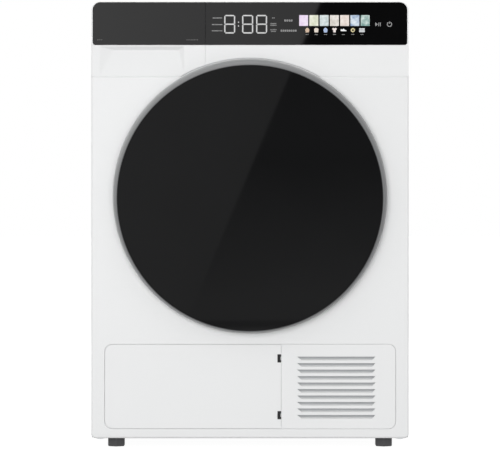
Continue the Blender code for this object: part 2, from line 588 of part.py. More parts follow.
def grip_cutter():
    """The finger grip: a wedge that is deep under the black strip and fades out downwards."""
    profile = [(FRONT - 0.004, 0.6990), (FRONT - 0.0003, 0.7000), (-0.2715, 0.7400), (-0.2690, 0.7560),
               (-0.2690, 0.7700), (-0.2735, 0.7700), (-0.2735, GLASS_BOTTOM - 0.0005),
               (FRONT - 0.004, GLASS_BOTTOM - 0.0005)]
    shape = bmesh.new()
    ends = []
    for x, lean in ((-0.2815, 0.55), (-0.1235, -0.10)):
        drop = [max(0.0, GLASS_BOTTOM - z) for y, z in profile]
        ends.append([shape.verts.new((x + lean * fall * 0.25, y, z)) for (y, z), fall in zip(profile, drop)])
    count = len(profile)
    for i in range(count):
        shape.faces.new((ends[0][i - 1], ends[0][i], ends[1][i], ends[1][i - 1]))
    for end in ends:
        shape.faces.new(end)
    return finished("grip_recess", shape)


def make_service(white, black):
    low, high = SERVICE_LOW + FLAP_GAP, SERVICE_HIGH - FLAP_GAP
    left, right = SERVICE_LEFT + FLAP_GAP, SERVICE_SPLIT - 0.0007
    corner = SERVICE_CORNER - FLAP_GAP
    outline = rounded(left, right, low, high, (FLAP_CORNER, 0, 0, FLAP_CORNER))
    flap = prism("service_flap", outline, "Y", FRONT, FRONT + FLAP_THICK, white)
    pieces = [flap]
    for name, start in (("flap_latch_upper", 0.1603), ("flap_latch_lower", 0.0537)):
        slot = block(name + "_slot", (0.0516, FRONT - 0.01, start), (0.07, -0.27, start + 0.0154))
        cut(flap, slot)
        latch = block(name, (0.0545, FRONT + 0.0006, start + 0.0006),
                      (right - 0.0001, -0.2765, start + 0.0148), black)
        pieces.append(latch)
    pivot("flap_axis", (left + FLAP_AXIS, FRONT + FLAP_AXIS, low), *pieces)

    start = SERVICE_SPLIT + 0.0007
    end = SERVICE_RIGHT - 0.0006
    edge = rounded(start, end, low + 0.0007 - FLAP_GAP, high - 0.0007 + FLAP_GAP, (0, corner, corner, 0))
    grille = prism("service_grille", edge, "Y", FRONT, -0.274, white)
    for row in range(10):
        cut(grille, louvre_cutter(0.1713 - 0.01217 * row))


def louvre_cutter(top):
    """One air slot: a sharp upper edge, and a lower edge that slopes out to the face."""
    profile = [(FRONT - 0.002, top), (-0.2730, top), (-0.2730, top - 0.0028), (-0.2745, top - 0.0030),
               (FRONT - 0.0002, top - 0.0068), (FRONT - 0.002, top - 0.0070)]
    shape = bmesh.new()
    ends = []
    for x, lean in ((0.0888, 1.2), (0.2355, -0.95)):
        ends.append([shape.verts.new((x + lean * (top - z), y, z)) for y, z in profile])
    count = len(profile)
    for i in range(count):
        shape.faces.new((ends[0][i - 1], ends[0][i], ends[1][i], ends[1][i - 1]))
    for end in ends:
        shape.faces.new(end)
    return finished("louvre", shape)


def make_filter(grey):
    rim = arc((0, AXIS_Z), 0.2065, -122.5, -57.5, 14)
    filter_body = prism("lint_filter", [(0.1110, 0.138), (-0.1110, 0.138)] + rim, "Y", -0.2375, -0.2165, grey)
    cut(filter_body, block("filter_screen", (-0.100, -0.2400, 0.148), (0.100, -0.2185, 0.240)),
        block("filter_grip", (-0.030, -0.2330, 0.250), (0.030, -0.2210, 0.290)))
    pivot("filter_axis", (0, -0.227, 0.138), filter_body)


def main():
    clear_scene()
    white = material("white_enamel", (0.83, 0.84, 0.84), 0.35)
    black = material("black_glass", (0.012, 0.012, 0.013), 0.08)
    grey = material("grey_plastic", (0.42, 0.43, 0.44), 0.45)
    silver = material("silver_plastic", (0.50, 0.51, 0.52), 0.30, 0.4)
    dark = material("dark_rubber", (0.035, 0.035, 0.037), 0.7)
    steel = material("galvanised_steel", (0.58, 0.59, 0.60), 0.35, 1.0)
    aluminium = material("aluminium_fins", (0.75, 0.76, 0.77), 0.3, 1.0)
    copper = material("copper_pipe", (0.72, 0.40, 0.25), 0.3, 1.0)
    felt = material("grey_felt", (0.30, 0.30, 0.31), 0.95)
    board = material("circuit_board", (0.02, 0.10, 0.04), 0.5)
    foot_grey = material("foot_plastic", (0.09, 0.09, 0.095), 0.5)

    make_base(grey)
    make_cabinet(white, steel, grey)
    make_front_panel(white)
    make_fascia(white, black, board, grey)
    make_bulkheads(grey, steel, felt, dark)
    make_door(silver, black, dark, steel)
    make_drum(steel, grey, dark)
    make_belt(dark)
    make_drive(steel, grey, dark)
    make_heat_pump(aluminium, dark, copper, grey)
    make_drawer(white, black, grey)
    make_service(white, black)
    make_filter(grey)
    make_feet(foot_grey)


main()
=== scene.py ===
import bpy
import bmesh
import json
import math
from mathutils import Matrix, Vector


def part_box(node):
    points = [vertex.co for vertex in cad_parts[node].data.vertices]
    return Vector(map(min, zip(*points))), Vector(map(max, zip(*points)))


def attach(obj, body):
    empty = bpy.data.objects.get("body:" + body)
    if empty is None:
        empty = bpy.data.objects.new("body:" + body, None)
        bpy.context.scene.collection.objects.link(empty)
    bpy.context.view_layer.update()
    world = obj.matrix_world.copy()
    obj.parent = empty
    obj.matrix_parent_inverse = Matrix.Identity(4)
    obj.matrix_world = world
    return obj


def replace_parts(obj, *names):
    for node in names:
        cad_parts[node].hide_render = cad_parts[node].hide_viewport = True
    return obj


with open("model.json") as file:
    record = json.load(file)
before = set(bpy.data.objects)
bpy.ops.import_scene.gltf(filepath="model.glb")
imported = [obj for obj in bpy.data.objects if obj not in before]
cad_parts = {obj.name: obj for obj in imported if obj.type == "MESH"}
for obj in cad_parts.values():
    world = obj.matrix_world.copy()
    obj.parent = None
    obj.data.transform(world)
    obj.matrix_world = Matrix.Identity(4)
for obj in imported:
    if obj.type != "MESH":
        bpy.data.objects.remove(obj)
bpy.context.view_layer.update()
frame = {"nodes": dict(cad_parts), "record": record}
print("frame loaded:", len(frame["nodes"]), "nodes")

bodyOf = {}
for bodyName, nodeNames in frame["record"]["behaviour"]["bodies"].items():
    for nodeName in nodeNames:
        bodyOf[nodeName] = bodyName
slotOf = {part["node"]: part["material_slot"] for part in frame["record"]["subparts"]}

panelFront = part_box("front_panel")[0].y
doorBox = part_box("door_frame")
doorZ = (doorBox[0].z + doorBox[1].z) / 2
ringRadius = (doorBox[1].x - doorBox[0].x) / 2
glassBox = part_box("door_glass")
glassTrim = 0.0010    # how much the shown glass is smaller than its solid
glassRadius = (glassBox[1].x - glassBox[0].x) / 2 - glassTrim
glassZ = glassBox[0].z + glassRadius


studio = {
    "cameraAway": 5.0,        # from the cabinet's front
    "cameraHeight": 0.445,
    "frameWidth": 0.939,      # what the view spans at the cabinet's front
    "frameCentre": 0.4186,    # height in the middle of the view
    "floorSize": 40.0,
    "worldLevel": 0.54,
    "floorGlow": 0.26,
    "cardAway": 5.6,          # the card stands behind the camera
    "cardHalf": 1.6,
    "cardLean": 0.4167, "cardEdge": -0.2516, "cardCrispness": 160.0,
    "cardBright": 0.92, "cardSlope": -0.35, "cardDark": 0.03,
    "cardLowGlow": 0.85, "cardFall": 1.9, "cardFallStart": 1.22,
}
# name, place, what it points at, size, power
lights = (
    ("keyLight", (-0.8, -5.2, 1.0), (0, 0, 0.5), (2.0, 2.0), 101),
    ("fillLight", (0.5, -5.2, 0.45), (0, 0, 0.5), (2.2, 1.1), 54),
    ("topLight", (0.0, 0.4, 3.4), (0, 0, 0.4), (2.6, 2.6), 16),
    ("leftLight", (-3.4, 0.5, 1.4), (0, 0, 0.4), (1.8, 2.4), 17),
    ("rightLight", (3.4, 0.5, 1.4), (0, 0, 0.4), (1.8, 2.4), 17),
    ("rearLight", (0.8, 3.6, 2.0), (0, 0, 0.4), (2.0, 2.0), 30),
)


def placed(name, data):
    item = bpy.data.objects.new(name, data)
    bpy.context.scene.collection.objects.link(item)
    return item


def makeCamera():
    data = bpy.data.cameras.new("camera")
    camera = placed("camera", data)
    camera.location = (0, panelFront - studio["cameraAway"], studio["cameraHeight"])
    camera.rotation_euler = (math.radians(90), 0, 0)
    data.sensor_width = 36
    data.lens = data.sensor_width * studio["cameraAway"] / studio["frameWidth"]
    data.shift_y = (studio["frameCentre"] - studio["cameraHeight"]) / studio["frameWidth"]
    data.clip_end = 100
    bpy.context.scene.camera = camera


def addLight(name, place, target, size, power):
    data = bpy.data.lights.new(name, "AREA")
    data.shape = "RECTANGLE"
    data.size, data.size_y = size
    data.energy = power
    light = placed(name, data)
    light.location = place
    light.rotation_mode = "QUATERNION"
    light.rotation_quaternion = (Vector(target) - Vector(place)).to_track_quat("-Z", "Y")
    light.visible_camera = False
    light.visible_glossy = False


def nodeTree(name):
    material = bpy.data.materials.new(name)
    material.use_nodes = True
    tree = material.node_tree
    return material, tree, tree.nodes["Principled BSDF"]


def link(tree, source, output, target, field):
    tree.links.new(source.outputs[output], target.inputs[field])


def mathNode(tree, operation, first, second=None, third=None):
    # each value is a number or a (node, output) pair
    node = tree.nodes.new("ShaderNodeMath")
    node.operation = operation
    for index, value in enumerate((first, second, third)):
        if isinstance(value, tuple):
            tree.links.new(value[0].outputs[value[1]], node.inputs[index])
        elif value is not None:
            node.inputs[index].default_value = value
    return node, 0


# a tall card with a slanted edge, which the black glass mirrors
def reflectorMaterial():
    material = bpy.data.materials.new("reflector")
    material.use_nodes = True
    tree = material.node_tree
    tree.nodes.clear()
    place = tree.nodes.new("ShaderNodeTexCoord")
    split = tree.nodes.new("ShaderNodeSeparateXYZ")
    link(tree, place, "Object", split, 0)
    slant = mathNode(tree, "MULTIPLY_ADD", (split, 2), -studio["cardLean"], (split, 0))
    edge = mathNode(tree, "SUBTRACT", slant, studio["cardEdge"])
    side = mathNode(tree, "MULTIPLY_ADD", edge, studio["cardCrispness"], 0.5)
    side[0].use_clamp = True
    fall = mathNode(tree, "MULTIPLY_ADD", (split, 2), -studio["cardFall"], studio["cardFallStart"])
    fall[0].use_clamp = True
    left = mathNode(tree, "MULTIPLY_ADD", (split, 0), studio["cardSlope"], studio["cardBright"])
    dark = mathNode(tree, "MULTIPLY_ADD", fall, studio["cardLowGlow"], studio["cardDark"])
    gap = mathNode(tree, "SUBTRACT", dark, left)
    level = mathNode(tree, "MULTIPLY_ADD", gap, side, left)
    glow = tree.nodes.new("ShaderNodeEmission")
    link(tree, level[0], 0, glow, "Strength")
    end = tree.nodes.new("ShaderNodeOutputMaterial")
    link(tree, glow, 0, end, "Surface")
    return material


def makeStage():
    size = studio["floorSize"]
    floorMesh = bpy.data.meshes.new("floor")
    corners = [(-size, -size, 0), (size, -size, 0), (size, size, 0), (-size, size, 0)]
    floorMesh.from_pydata([(x, y, -0.0004) for x, y, z in corners], [], [(0, 1, 2, 3)])
    floor = placed("floor", floorMesh)
    paper, tree, shader = nodeTree("paleFloor")
    shader.inputs["Base Color"].default_value = (0.20, 0.20, 0.20, 1)
    shader.inputs["Roughness"].default_value = 0.9
    shader.inputs["Specular IOR Level"].default_value = 0.0
    shader.inputs["Emission Color"].default_value = (1, 1, 1, 1)
    rays = tree.nodes.new("ShaderNodeLightPath")
    glow = mathNode(tree, "MULTIPLY_ADD", (rays, 0), 0.95 - studio["floorGlow"], studio["floorGlow"])
    link(tree, glow[0], 0, shader, "Emission Strength")
    floorMesh.materials.append(paper)

    half = studio["cardHalf"]
    cardMesh = bpy.data.meshes.new("reflector")
    y = -studio["cardAway"]
    cardMesh.from_pydata([(-half, y, 0.02), (half, y, 0.02), (half, y, 2 * half), (-half, y, 2 * half)],
                         [], [(3, 2, 1, 0)])
    card = placed("reflector", cardMesh)
    card.visible_camera = False
    card.visible_diffuse = False
    card.visible_shadow = False
    card.visible_transmission = False
    cardMesh.materials.append(reflectorMaterial())

    world = bpy.data.worlds.new("studio")
    world.use_nodes = True
    background = world.node_tree.nodes["Background"]
    background.inputs["Color"].default_value = (1, 1, 1, 1)
    rays = world.node_tree.nodes.new("ShaderNodeLightPath")
    level = mathNode(world.node_tree, "MULTIPLY_ADD", (rays, 0), 1 - studio["worldLevel"],
                     studio["worldLevel"])
    link(world.node_tree, level[0], 0, background, "Strength")
    bpy.context.scene.world = world
    bpy.context.scene.view_settings.view_transform = "Standard"
    for light in lights:
        addLight(*light)


makeCamera()
makeStage()
print("camera, floor and light made")


def speckle(tree, scale, detail=3.0):
    place = tree.nodes.new("ShaderNodeTexCoord")
    noise = tree.nodes.new("ShaderNodeTexNoise")
    noise.inputs["Scale"].default_value = scale
    noise.inputs["Detail"].default_value = detail
    link(tree, place, "Object", noise, "Vector")
    return noise


# a value between start and end becomes one between low and high
def ramp(tree, source, low, high, start=0.3, end=0.7):
    spread = tree.nodes.new("ShaderNodeMapRange")
    spread.inputs["From Min"].default_value = start
    spread.inputs["From Max"].default_value = end
    spread.inputs["To Min"].default_value = low
    spread.inputs["To Max"].default_value = high
    tree.links.new(source, spread.inputs["Value"])
    return spread


def tint(tree, source, first, second):
    blend = tree.nodes.new("ShaderNodeMix")
    blend.data_type = "RGBA"
    blend.inputs[6].default_value = (*first, 1)
    blend.inputs[7].default_value = (*second, 1)
    tree.links.new(source, blend.inputs[0])
    return blend


# one finish: two close colours, a rough pattern, a fine grain, and another colour on sharp convex edges
def surface(name, colour, shade, roughness, grain, grainHeight, metallic=0.0, specular=0.5, coat=0.0,
            blotch=2.5, roughSpread=0.06, stretch=None, edgeTint=None):
    material, tree, shader = nodeTree(name)
    cloud = speckle(tree, blotch, 4.0)
    fine = speckle(tree, grain, 2.0)
    if stretch:
        turn = tree.nodes.new("ShaderNodeMapping")
        turn.inputs["Scale"].default_value = stretch
        source = fine.inputs["Vector"].links[0].from_socket
        tree.links.new(source, turn.inputs["Vector"])
        tree.links.new(turn.outputs["Vector"], fine.inputs["Vector"])
    mixed = tint(tree, ramp(tree, cloud.outputs["Fac"], 0.0, 1.0).outputs[0], colour, shade)
    result = mixed.outputs[2]
    # sharp convex edges, found by pointiness, take another colour
    if edgeTint:
        geometry = tree.nodes.new("ShaderNodeNewGeometry")
        edge = ramp(tree, geometry.outputs["Pointiness"], 0.0, 1.0, 0.52, 0.62)
        edgeTinted = tint(tree, edge.outputs[0], colour, edgeTint)
        tree.links.new(result, edgeTinted.inputs[6])
        result = edgeTinted.outputs[2]
    tree.links.new(result, shader.inputs["Base Color"])
    rough = ramp(tree, cloud.outputs["Fac"], roughness - roughSpread / 2, roughness + roughSpread / 2)
    link(tree, rough, 0, shader, "Roughness")
    bump = tree.nodes.new("ShaderNodeBump")
    bump.inputs["Strength"].default_value = 1.0
    bump.inputs["Distance"].default_value = grainHeight
    link(tree, fine, "Fac", bump, "Height")
    link(tree, bump, "Normal", shader, "Normal")
    shader.inputs["Metallic"].default_value = metallic
    shader.inputs["Specular IOR Level"].default_value = specular
    shader.inputs["Coat Weight"].default_value = coat
    shader.inputs["Coat Roughness"].default_value = 0.12
    return material


# silver lacquer with painted shade: darker towards the glass, darker on the right side, and a painted shadow
# line along the glass's edge
def ringSurface():
    material = surface("ringLacquer", (0.44, 0.45, 0.455), (0.41, 0.42, 0.425), 0.34, 2600, 0.00001,
                       metallic=0.30,
                       blotch=40, roughSpread=0.05)
    tree = material.node_tree
    shader = tree.nodes["Principled BSDF"]
    place = tree.nodes.new("ShaderNodeTexCoord")
    split = tree.nodes.new("ShaderNodeSeparateXYZ")
    link(tree, place, "Object", split, 0)
    across = mathNode(tree, "MULTIPLY", (split, 0), (split, 0))
    height = mathNode(tree, "SUBTRACT", (split, 2), glassZ)
    squared = mathNode(tree, "MULTIPLY_ADD", height, height, across)
    radius = mathNode(tree, "SQRT", squared)
    # painted shade: the lacquer's colour darkens from its outer edge in towards the glass
    share = ramp(tree, radius[0].outputs[0], 0.0, 1.0, glassRadius + 0.0010, ringRadius + 0.0010)
    # painted shade: the colour darkens towards the right side, which faces away from the light
    side = ramp(tree, split.outputs[0], 0.0, 0.55, 0.0, ringRadius)
    shaded = mathNode(tree, "SUBTRACT", (share, 0), (side, 0))
    paintedShadeTint = tint(tree, shaded[0].outputs[0], (0.20, 0.202, 0.206), (0.45, 0.456, 0.460))
    # painted shadow: a near-black line along the glass's edge, where the gap between ring and glass lies in
    # shade
    edge = ramp(tree, radius[0].outputs[0], 0.03, 1.0, glassRadius + 0.0006, glassRadius + 0.0016)
    gapShadowed = tree.nodes.new("ShaderNodeMix")
    gapShadowed.data_type = "RGBA"
    gapShadowed.inputs[6].default_value = (0.012, 0.012, 0.013, 1)
    tree.links.new(edge.outputs[0], gapShadowed.inputs[0])
    tree.links.new(paintedShadeTint.outputs[2], gapShadowed.inputs[7])
    grain = shader.inputs["Base Color"].links[0].from_socket
    blend = tree.nodes.new("ShaderNodeMix")
    blend.data_type = "RGBA"
    blend.inputs[0].default_value = 0.10
    tree.links.new(gapShadowed.outputs[2], blend.inputs[6])
    tree.links.new(grain, blend.inputs[7])
    tree.links.new(blend.outputs[2], shader.inputs["Base Color"])
    return material


# colour, second colour, roughness, grain scale, grain height, and what differs from a plain finish
finishRows = {
    "whitePaint": ((0.785, 0.790, 0.792), (0.772, 0.778, 0.781), 0.30, 900, 0.00002, {"coat": 0.25}),
    "whitePlastic": ((0.790, 0.795, 0.797), (0.778, 0.783, 0.786), 0.34, 1600, 0.00002, {}),
    "whiteLaminate": ((0.790, 0.795, 0.795), (0.770, 0.776, 0.777), 0.42, 2200, 0.00004, {}),
    "panelGlass": ((0.0016, 0.0016, 0.0018), (0.0022, 0.0022, 0.0024), 0.025, 300, 0.0000002,
                   {"blotch": 9, "roughSpread": 0.01}),
    "doorGlass": ((0.0066, 0.0067, 0.0070), (0.0074, 0.0075, 0.0079), 0.022, 300, 0.0000002,
                  {"specular": 0.11, "blotch": 7, "roughSpread": 0.01}),
    "greyPlastic": ((0.40, 0.41, 0.42), (0.36, 0.37, 0.38), 0.48, 1400, 0.00004, {}),
    "palePlastic": ((0.62, 0.63, 0.64), (0.58, 0.59, 0.60), 0.42, 1400, 0.00004, {}),
    "darkPlastic": ((0.048, 0.048, 0.050), (0.062, 0.062, 0.064), 0.42, 1500, 0.00005,
                    {"edgeTint": (0.14, 0.14, 0.145)}),
    "blackPlastic": ((0.012, 0.012, 0.013), (0.018, 0.018, 0.019), 0.35, 1500, 0.00003, {}),
    "rubber": ((0.030, 0.030, 0.032), (0.042, 0.042, 0.044), 0.72, 1100, 0.00006, {"roughSpread": 0.12}),
    "zincSheet": ((0.64, 0.65, 0.66), (0.57, 0.58, 0.59), 0.36, 240, 0.00001,
                  {"metallic": 1.0, "blotch": 70, "roughSpread": 0.14}),
    "brushedSteel": ((0.66, 0.66, 0.665), (0.60, 0.60, 0.605), 0.27, 700, 0.00001,
                     {"metallic": 1.0, "stretch": (1, 0.03, 1)}),
    "machinedSteel": ((0.58, 0.58, 0.59), (0.50, 0.50, 0.51), 0.30, 900, 0.00001,
                      {"metallic": 1.0, "edgeTint": (0.75, 0.75, 0.76)}),
    "blackPaint": ((0.028, 0.028, 0.030), (0.040, 0.040, 0.042), 0.45, 500, 0.00006,
                   {"edgeTint": (0.10, 0.10, 0.10)}),
    "finAluminium": ((0.76, 0.77, 0.78), (0.68, 0.69, 0.70), 0.32, 900, 0.00001, {"metallic": 1.0}),
    "copperTube": ((0.74, 0.40, 0.24), (0.58, 0.28, 0.16), 0.30, 500, 0.00001, {"metallic": 1.0}),
    "pressedFelt": ((0.27, 0.27, 0.28), (0.20, 0.20, 0.21), 0.95, 2600, 0.00035, {}),
    "greenBoard": ((0.015, 0.085, 0.035), (0.02, 0.12, 0.05), 0.40, 1200, 0.00005, {}),
}
finishes = {name: surface(name, *row, **options) for name, (*row, options) in finishRows.items()}
finishes["ringLacquer"] = ringSurface()
finishOfSlot = {
    "white_enamel": "whitePaint", "white_plastic": "whitePlastic", "white_laminate": "whiteLaminate",
    "black_glass": "panelGlass", "silver_plastic": "ringLacquer", "grey_plastic": "greyPlastic",
    "dark_plastic": "darkPlastic", "rubber": "rubber", "steel": "zincSheet", "cast": "blackPaint",
    "aluminium": "finAluminium", "copper": "copperTube", "felt": "pressedFelt", "board": "greenBoard",
}
print("materials made:", len(finishes))


def arcPoints(x, z, radius, start, end, steps):
    points = []
    for step in range(steps + 1):
        angle = math.radians(start + (end - start) * step / steps)
        points.append((x + radius * math.cos(angle), z + radius * math.sin(angle)))
    return points


# a rectangle's outline; radii are for low left, low right, high right, high left
def roundedLoop(left, right, low, high, radii, steps=12):
    points = []
    places = [(left, low, 1, 1, 180), (right, low, -1, 1, 270), (right, high, -1, -1, 0),
              (left, high, 1, -1, 90)]
    for radius, (x, z, inX, inZ, angle) in zip(radii, places):
        if radius > 0:
            points += arcPoints(x + inX * radius, z + inZ * radius, radius, angle, angle + 90, steps)
        else:
            points.append((x, z))
    return points


# the outline of a box seen from the front
def faceLoop(box, radii, steps=12, grow=0):
    return roundedLoop(box[0].x - grow, box[1].x + grow, box[0].z - grow, box[1].z + grow, radii, steps)


# counter-clockwise order if wanted is 1, clockwise if it is -1
def turnedAbout(points, wanted):
    area = sum(points[i - 1][0] * points[i][1] - points[i][0] * points[i - 1][1] for i in range(len(points)))
    return points if area * wanted > 0 else points[::-1]


# moves a loop's corners towards its left-hand side
def shrunk(points, amount):
    moved = []
    for i in range(len(points)):
        before, here, after = Vector(points[i - 1]), Vector(points[i]), Vector(points[(i + 1) % len(points)])
        first, second = (here - before).normalized(), (after - here).normalized()
        middle = first + second
        if middle.length < 1e-6:
            middle = first
        middle.normalize()
        normal = Vector((-middle.y, middle.x))
        reach = max(0.3, normal.dot(Vector((-first.y, first.x))))
        moved.append(here + normal * amount / reach)
    return [(spot.x, spot.y) for spot in moved]


def cleanMesh(shape, sharp=35):
    bmesh.ops.recalc_face_normals(shape, faces=shape.faces)
    mesh = bpy.data.meshes.new("piece")
    shape.to_mesh(mesh)
    shape.free()
    mesh.shade_smooth()
    mesh.set_sharp_from_angle(angle=math.radians(sharp))
    return mesh


# a plate across Y; each loop is (points, front rounding, back rounding), the outline first and then holes
def plateMesh(loops, front, back, roundSteps=4):
    shape = bmesh.new()
    caps = ([], [])
    for number, (points, frontRound, backRound) in enumerate(loops):
        points = turnedAbout(points, -1 if number else 1)
        levels = []
        for step in range(roundSteps + 1):
            angle = math.pi / 2 * step / roundSteps
            levels.append((frontRound * (1 - math.sin(angle)), front + frontRound * (1 - math.cos(angle))))
            if frontRound == 0:
                break
        for step in range(roundSteps, -1, -1):
            angle = math.pi / 2 * step / roundSteps
            levels.append((backRound * (1 - math.sin(angle)), back - backRound * (1 - math.cos(angle))))
            if backRound == 0:
                break
        rings = []
        for inset, y in levels:
            ring = shrunk(points, inset) if inset > 1e-7 else points
            rings.append([shape.verts.new((x, y, z)) for x, z in ring])
        for near, far in zip(rings, rings[1:]):
            for i in range(len(points)):
                shape.faces.new((near[i - 1], near[i], far[i], far[i - 1]))
        for cap, ring in zip(caps, (rings[0], rings[-1])):
            cap += [shape.edges.get((ring[i - 1], ring[i])) for i in range(len(ring))]
    for cap in caps:
        bmesh.ops.triangle_fill(shape, edges=cap, use_beauty=True, use_dissolve=False)
    return cleanMesh(shape)


def softened(profile, radii, steps=4):
    points = []
    for i in range(len(profile)):
        here = Vector(profile[i])
        if not radii[i]:
            points.append((here.x, here.y))
            continue
        before, after = Vector(profile[i - 1]), Vector(profile[(i + 1) % len(profile)])
        start = here + (before - here).normalized() * min(radii[i], (before - here).length * 0.48)
        end = here + (after - here).normalized() * min(radii[i], (after - here).length * 0.48)
        for step in range(steps + 1):
            t = step / steps
            spot = start * (1 - t) ** 2 + here * 2 * t * (1 - t) + end * t ** 2
            points.append((spot.x, spot.y))
    return points


# turns a closed profile of (radius, place along the axis) about an axis
def turnedMesh(profile, axis, centre, steps=192, sharp=35):
    shape = bmesh.new()
    rings = []
    for radius, along in profile:
        count = steps if radius > 1e-6 else 1
        ring = []
        for step in range(count):
            angle = 2 * math.pi * step / count
            x, z = radius * math.cos(angle), radius * math.sin(angle)
            spot = {"Y": (x, along, z), "Z": (x, z, along)}[axis]
            ring.append(shape.verts.new(Vector(spot) + Vector(centre)))
        rings.append(ring)
    for number in range(len(rings)):
        near, far = rings[number - 1], rings[number]
        for i in range(steps):
            corners = []
            for spot in (near[(i - 1) % len(near)], near[i % len(near)], far[i % len(far)],
                         far[(i - 1) % len(far)]):
                if spot not in corners:
                    corners.append(spot)
            if len(corners) > 2 and len(near) + len(far) > 2:
                shape.faces.new(corners)
    return cleanMesh(shape, sharp)


def extrudedMesh(outline, low, high, axis="Y"):
    shape = bmesh.new()
    ends = []
    for along in (low, high):
        spots = []
        for first, second in outline:
            spot = {"X": (along, first, second), "Y": (first, along, second),
                    "Z": (first, second, along)}[axis]
            spots.append(shape.verts.new(spot))
        ends.append(spots)
        shape.faces.new(spots)
    for i in range(len(outline)):
        shape.faces.new((ends[0][i - 1], ends[0][i], ends[1][i], ends[1][i - 1]))
    return cleanMesh(shape)


def boxMesh(low, high):
    outline = [(low[0], low[2]), (high[0], low[2]), (high[0], high[2]), (low[0], high[2])]
    return extrudedMesh(outline, low[1], high[1])


def joinedMesh(meshes):
    shape = bmesh.new()
    for mesh in meshes:
        shape.from_mesh(mesh)
    joined = bpy.data.meshes.new("joined")
    shape.to_mesh(joined)
    shape.free()
    return joined


def keepResult(piece):
    bpy.context.view_layer.update()
    seen = piece.evaluated_get(bpy.context.evaluated_depsgraph_get())
    mesh = bpy.data.meshes.new_from_object(seen)
    mesh.name = piece.name
    piece.modifiers.clear()
    piece.data = mesh


def evenNormals(piece):
    modifier = piece.modifiers.new("normals", "WEIGHTED_NORMAL")
    modifier.keep_sharp = True
    keepResult(piece)


def cutMesh(mesh, cutters):
    whole = placed("whole", mesh)
    tools = [placed("cutter", cutter) for cutter in cutters]
    for tool in tools:
        cut = whole.modifiers.new("cut", "BOOLEAN")
        cut.object = tool
        cut.solver = "EXACT"
    keepResult(whole)
    result = whole.data
    for item in [whole] + tools:
        bpy.data.objects.remove(item)
    return result


# a mesh put in the scene on the node's body, with a finish
def addPiece(name, mesh, finish, node, bevel=0):
    piece = placed(name, mesh)
    mesh.materials.clear()
    mesh.materials.append(finishes[finish])
    if bevel:
        edge = piece.modifiers.new("edge", "BEVEL")
        edge.width = bevel
        edge.segments = 2
        edge.limit_method = "ANGLE"
        edge.angle_limit = math.radians(40)
        edge.harden_normals = True
        keepResult(piece)
    evenNormals(piece)
    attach(piece, bodyOf[node])
    return piece


# a piece that is shown in place of its whole node
def standIn(name, mesh, finish, node, bevel=0):
    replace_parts(addPiece(name, mesh, finish, node, bevel), node)


# a CAD node's shape with rounded edges
def refinedNode(node, bevel, finish=None, sharp=30):
    shape = bmesh.new()
    shape.from_mesh(frame["nodes"][node].data)
    bmesh.ops.remove_doubles(shape, verts=shape.verts, dist=1e-6)
    bmesh.ops.dissolve_limit(shape, angle_limit=math.radians(0.6), verts=shape.verts, edges=shape.edges)
    mesh = bpy.data.meshes.new(node)
    shape.to_mesh(mesh)
    shape.free()
    mesh.shade_smooth()
    mesh.set_sharp_from_angle(angle=math.radians(sharp))
    standIn(node + "Skin", mesh, finish or finishOfSlot[slotOf[node]], node, bevel)


door = {
    "glassRound": 0.0014, "ringDepth": 0.0215, "ringSteps": 10, "turnSteps": 256,
    "ringOuter": 0.2568, "ringLift": 0.0026,    # the ring is wider above the glass than below it
    "knuckleRoom": 0.003,
    # the hollow for the hinge's knuckle, from the pin: to the right, then back
    "pocket": ((-0.040, -0.0065), (0.006, -0.0065), (0.007, 0.002), (0.012, 0.0215), (-0.040, 0.0215)),
}


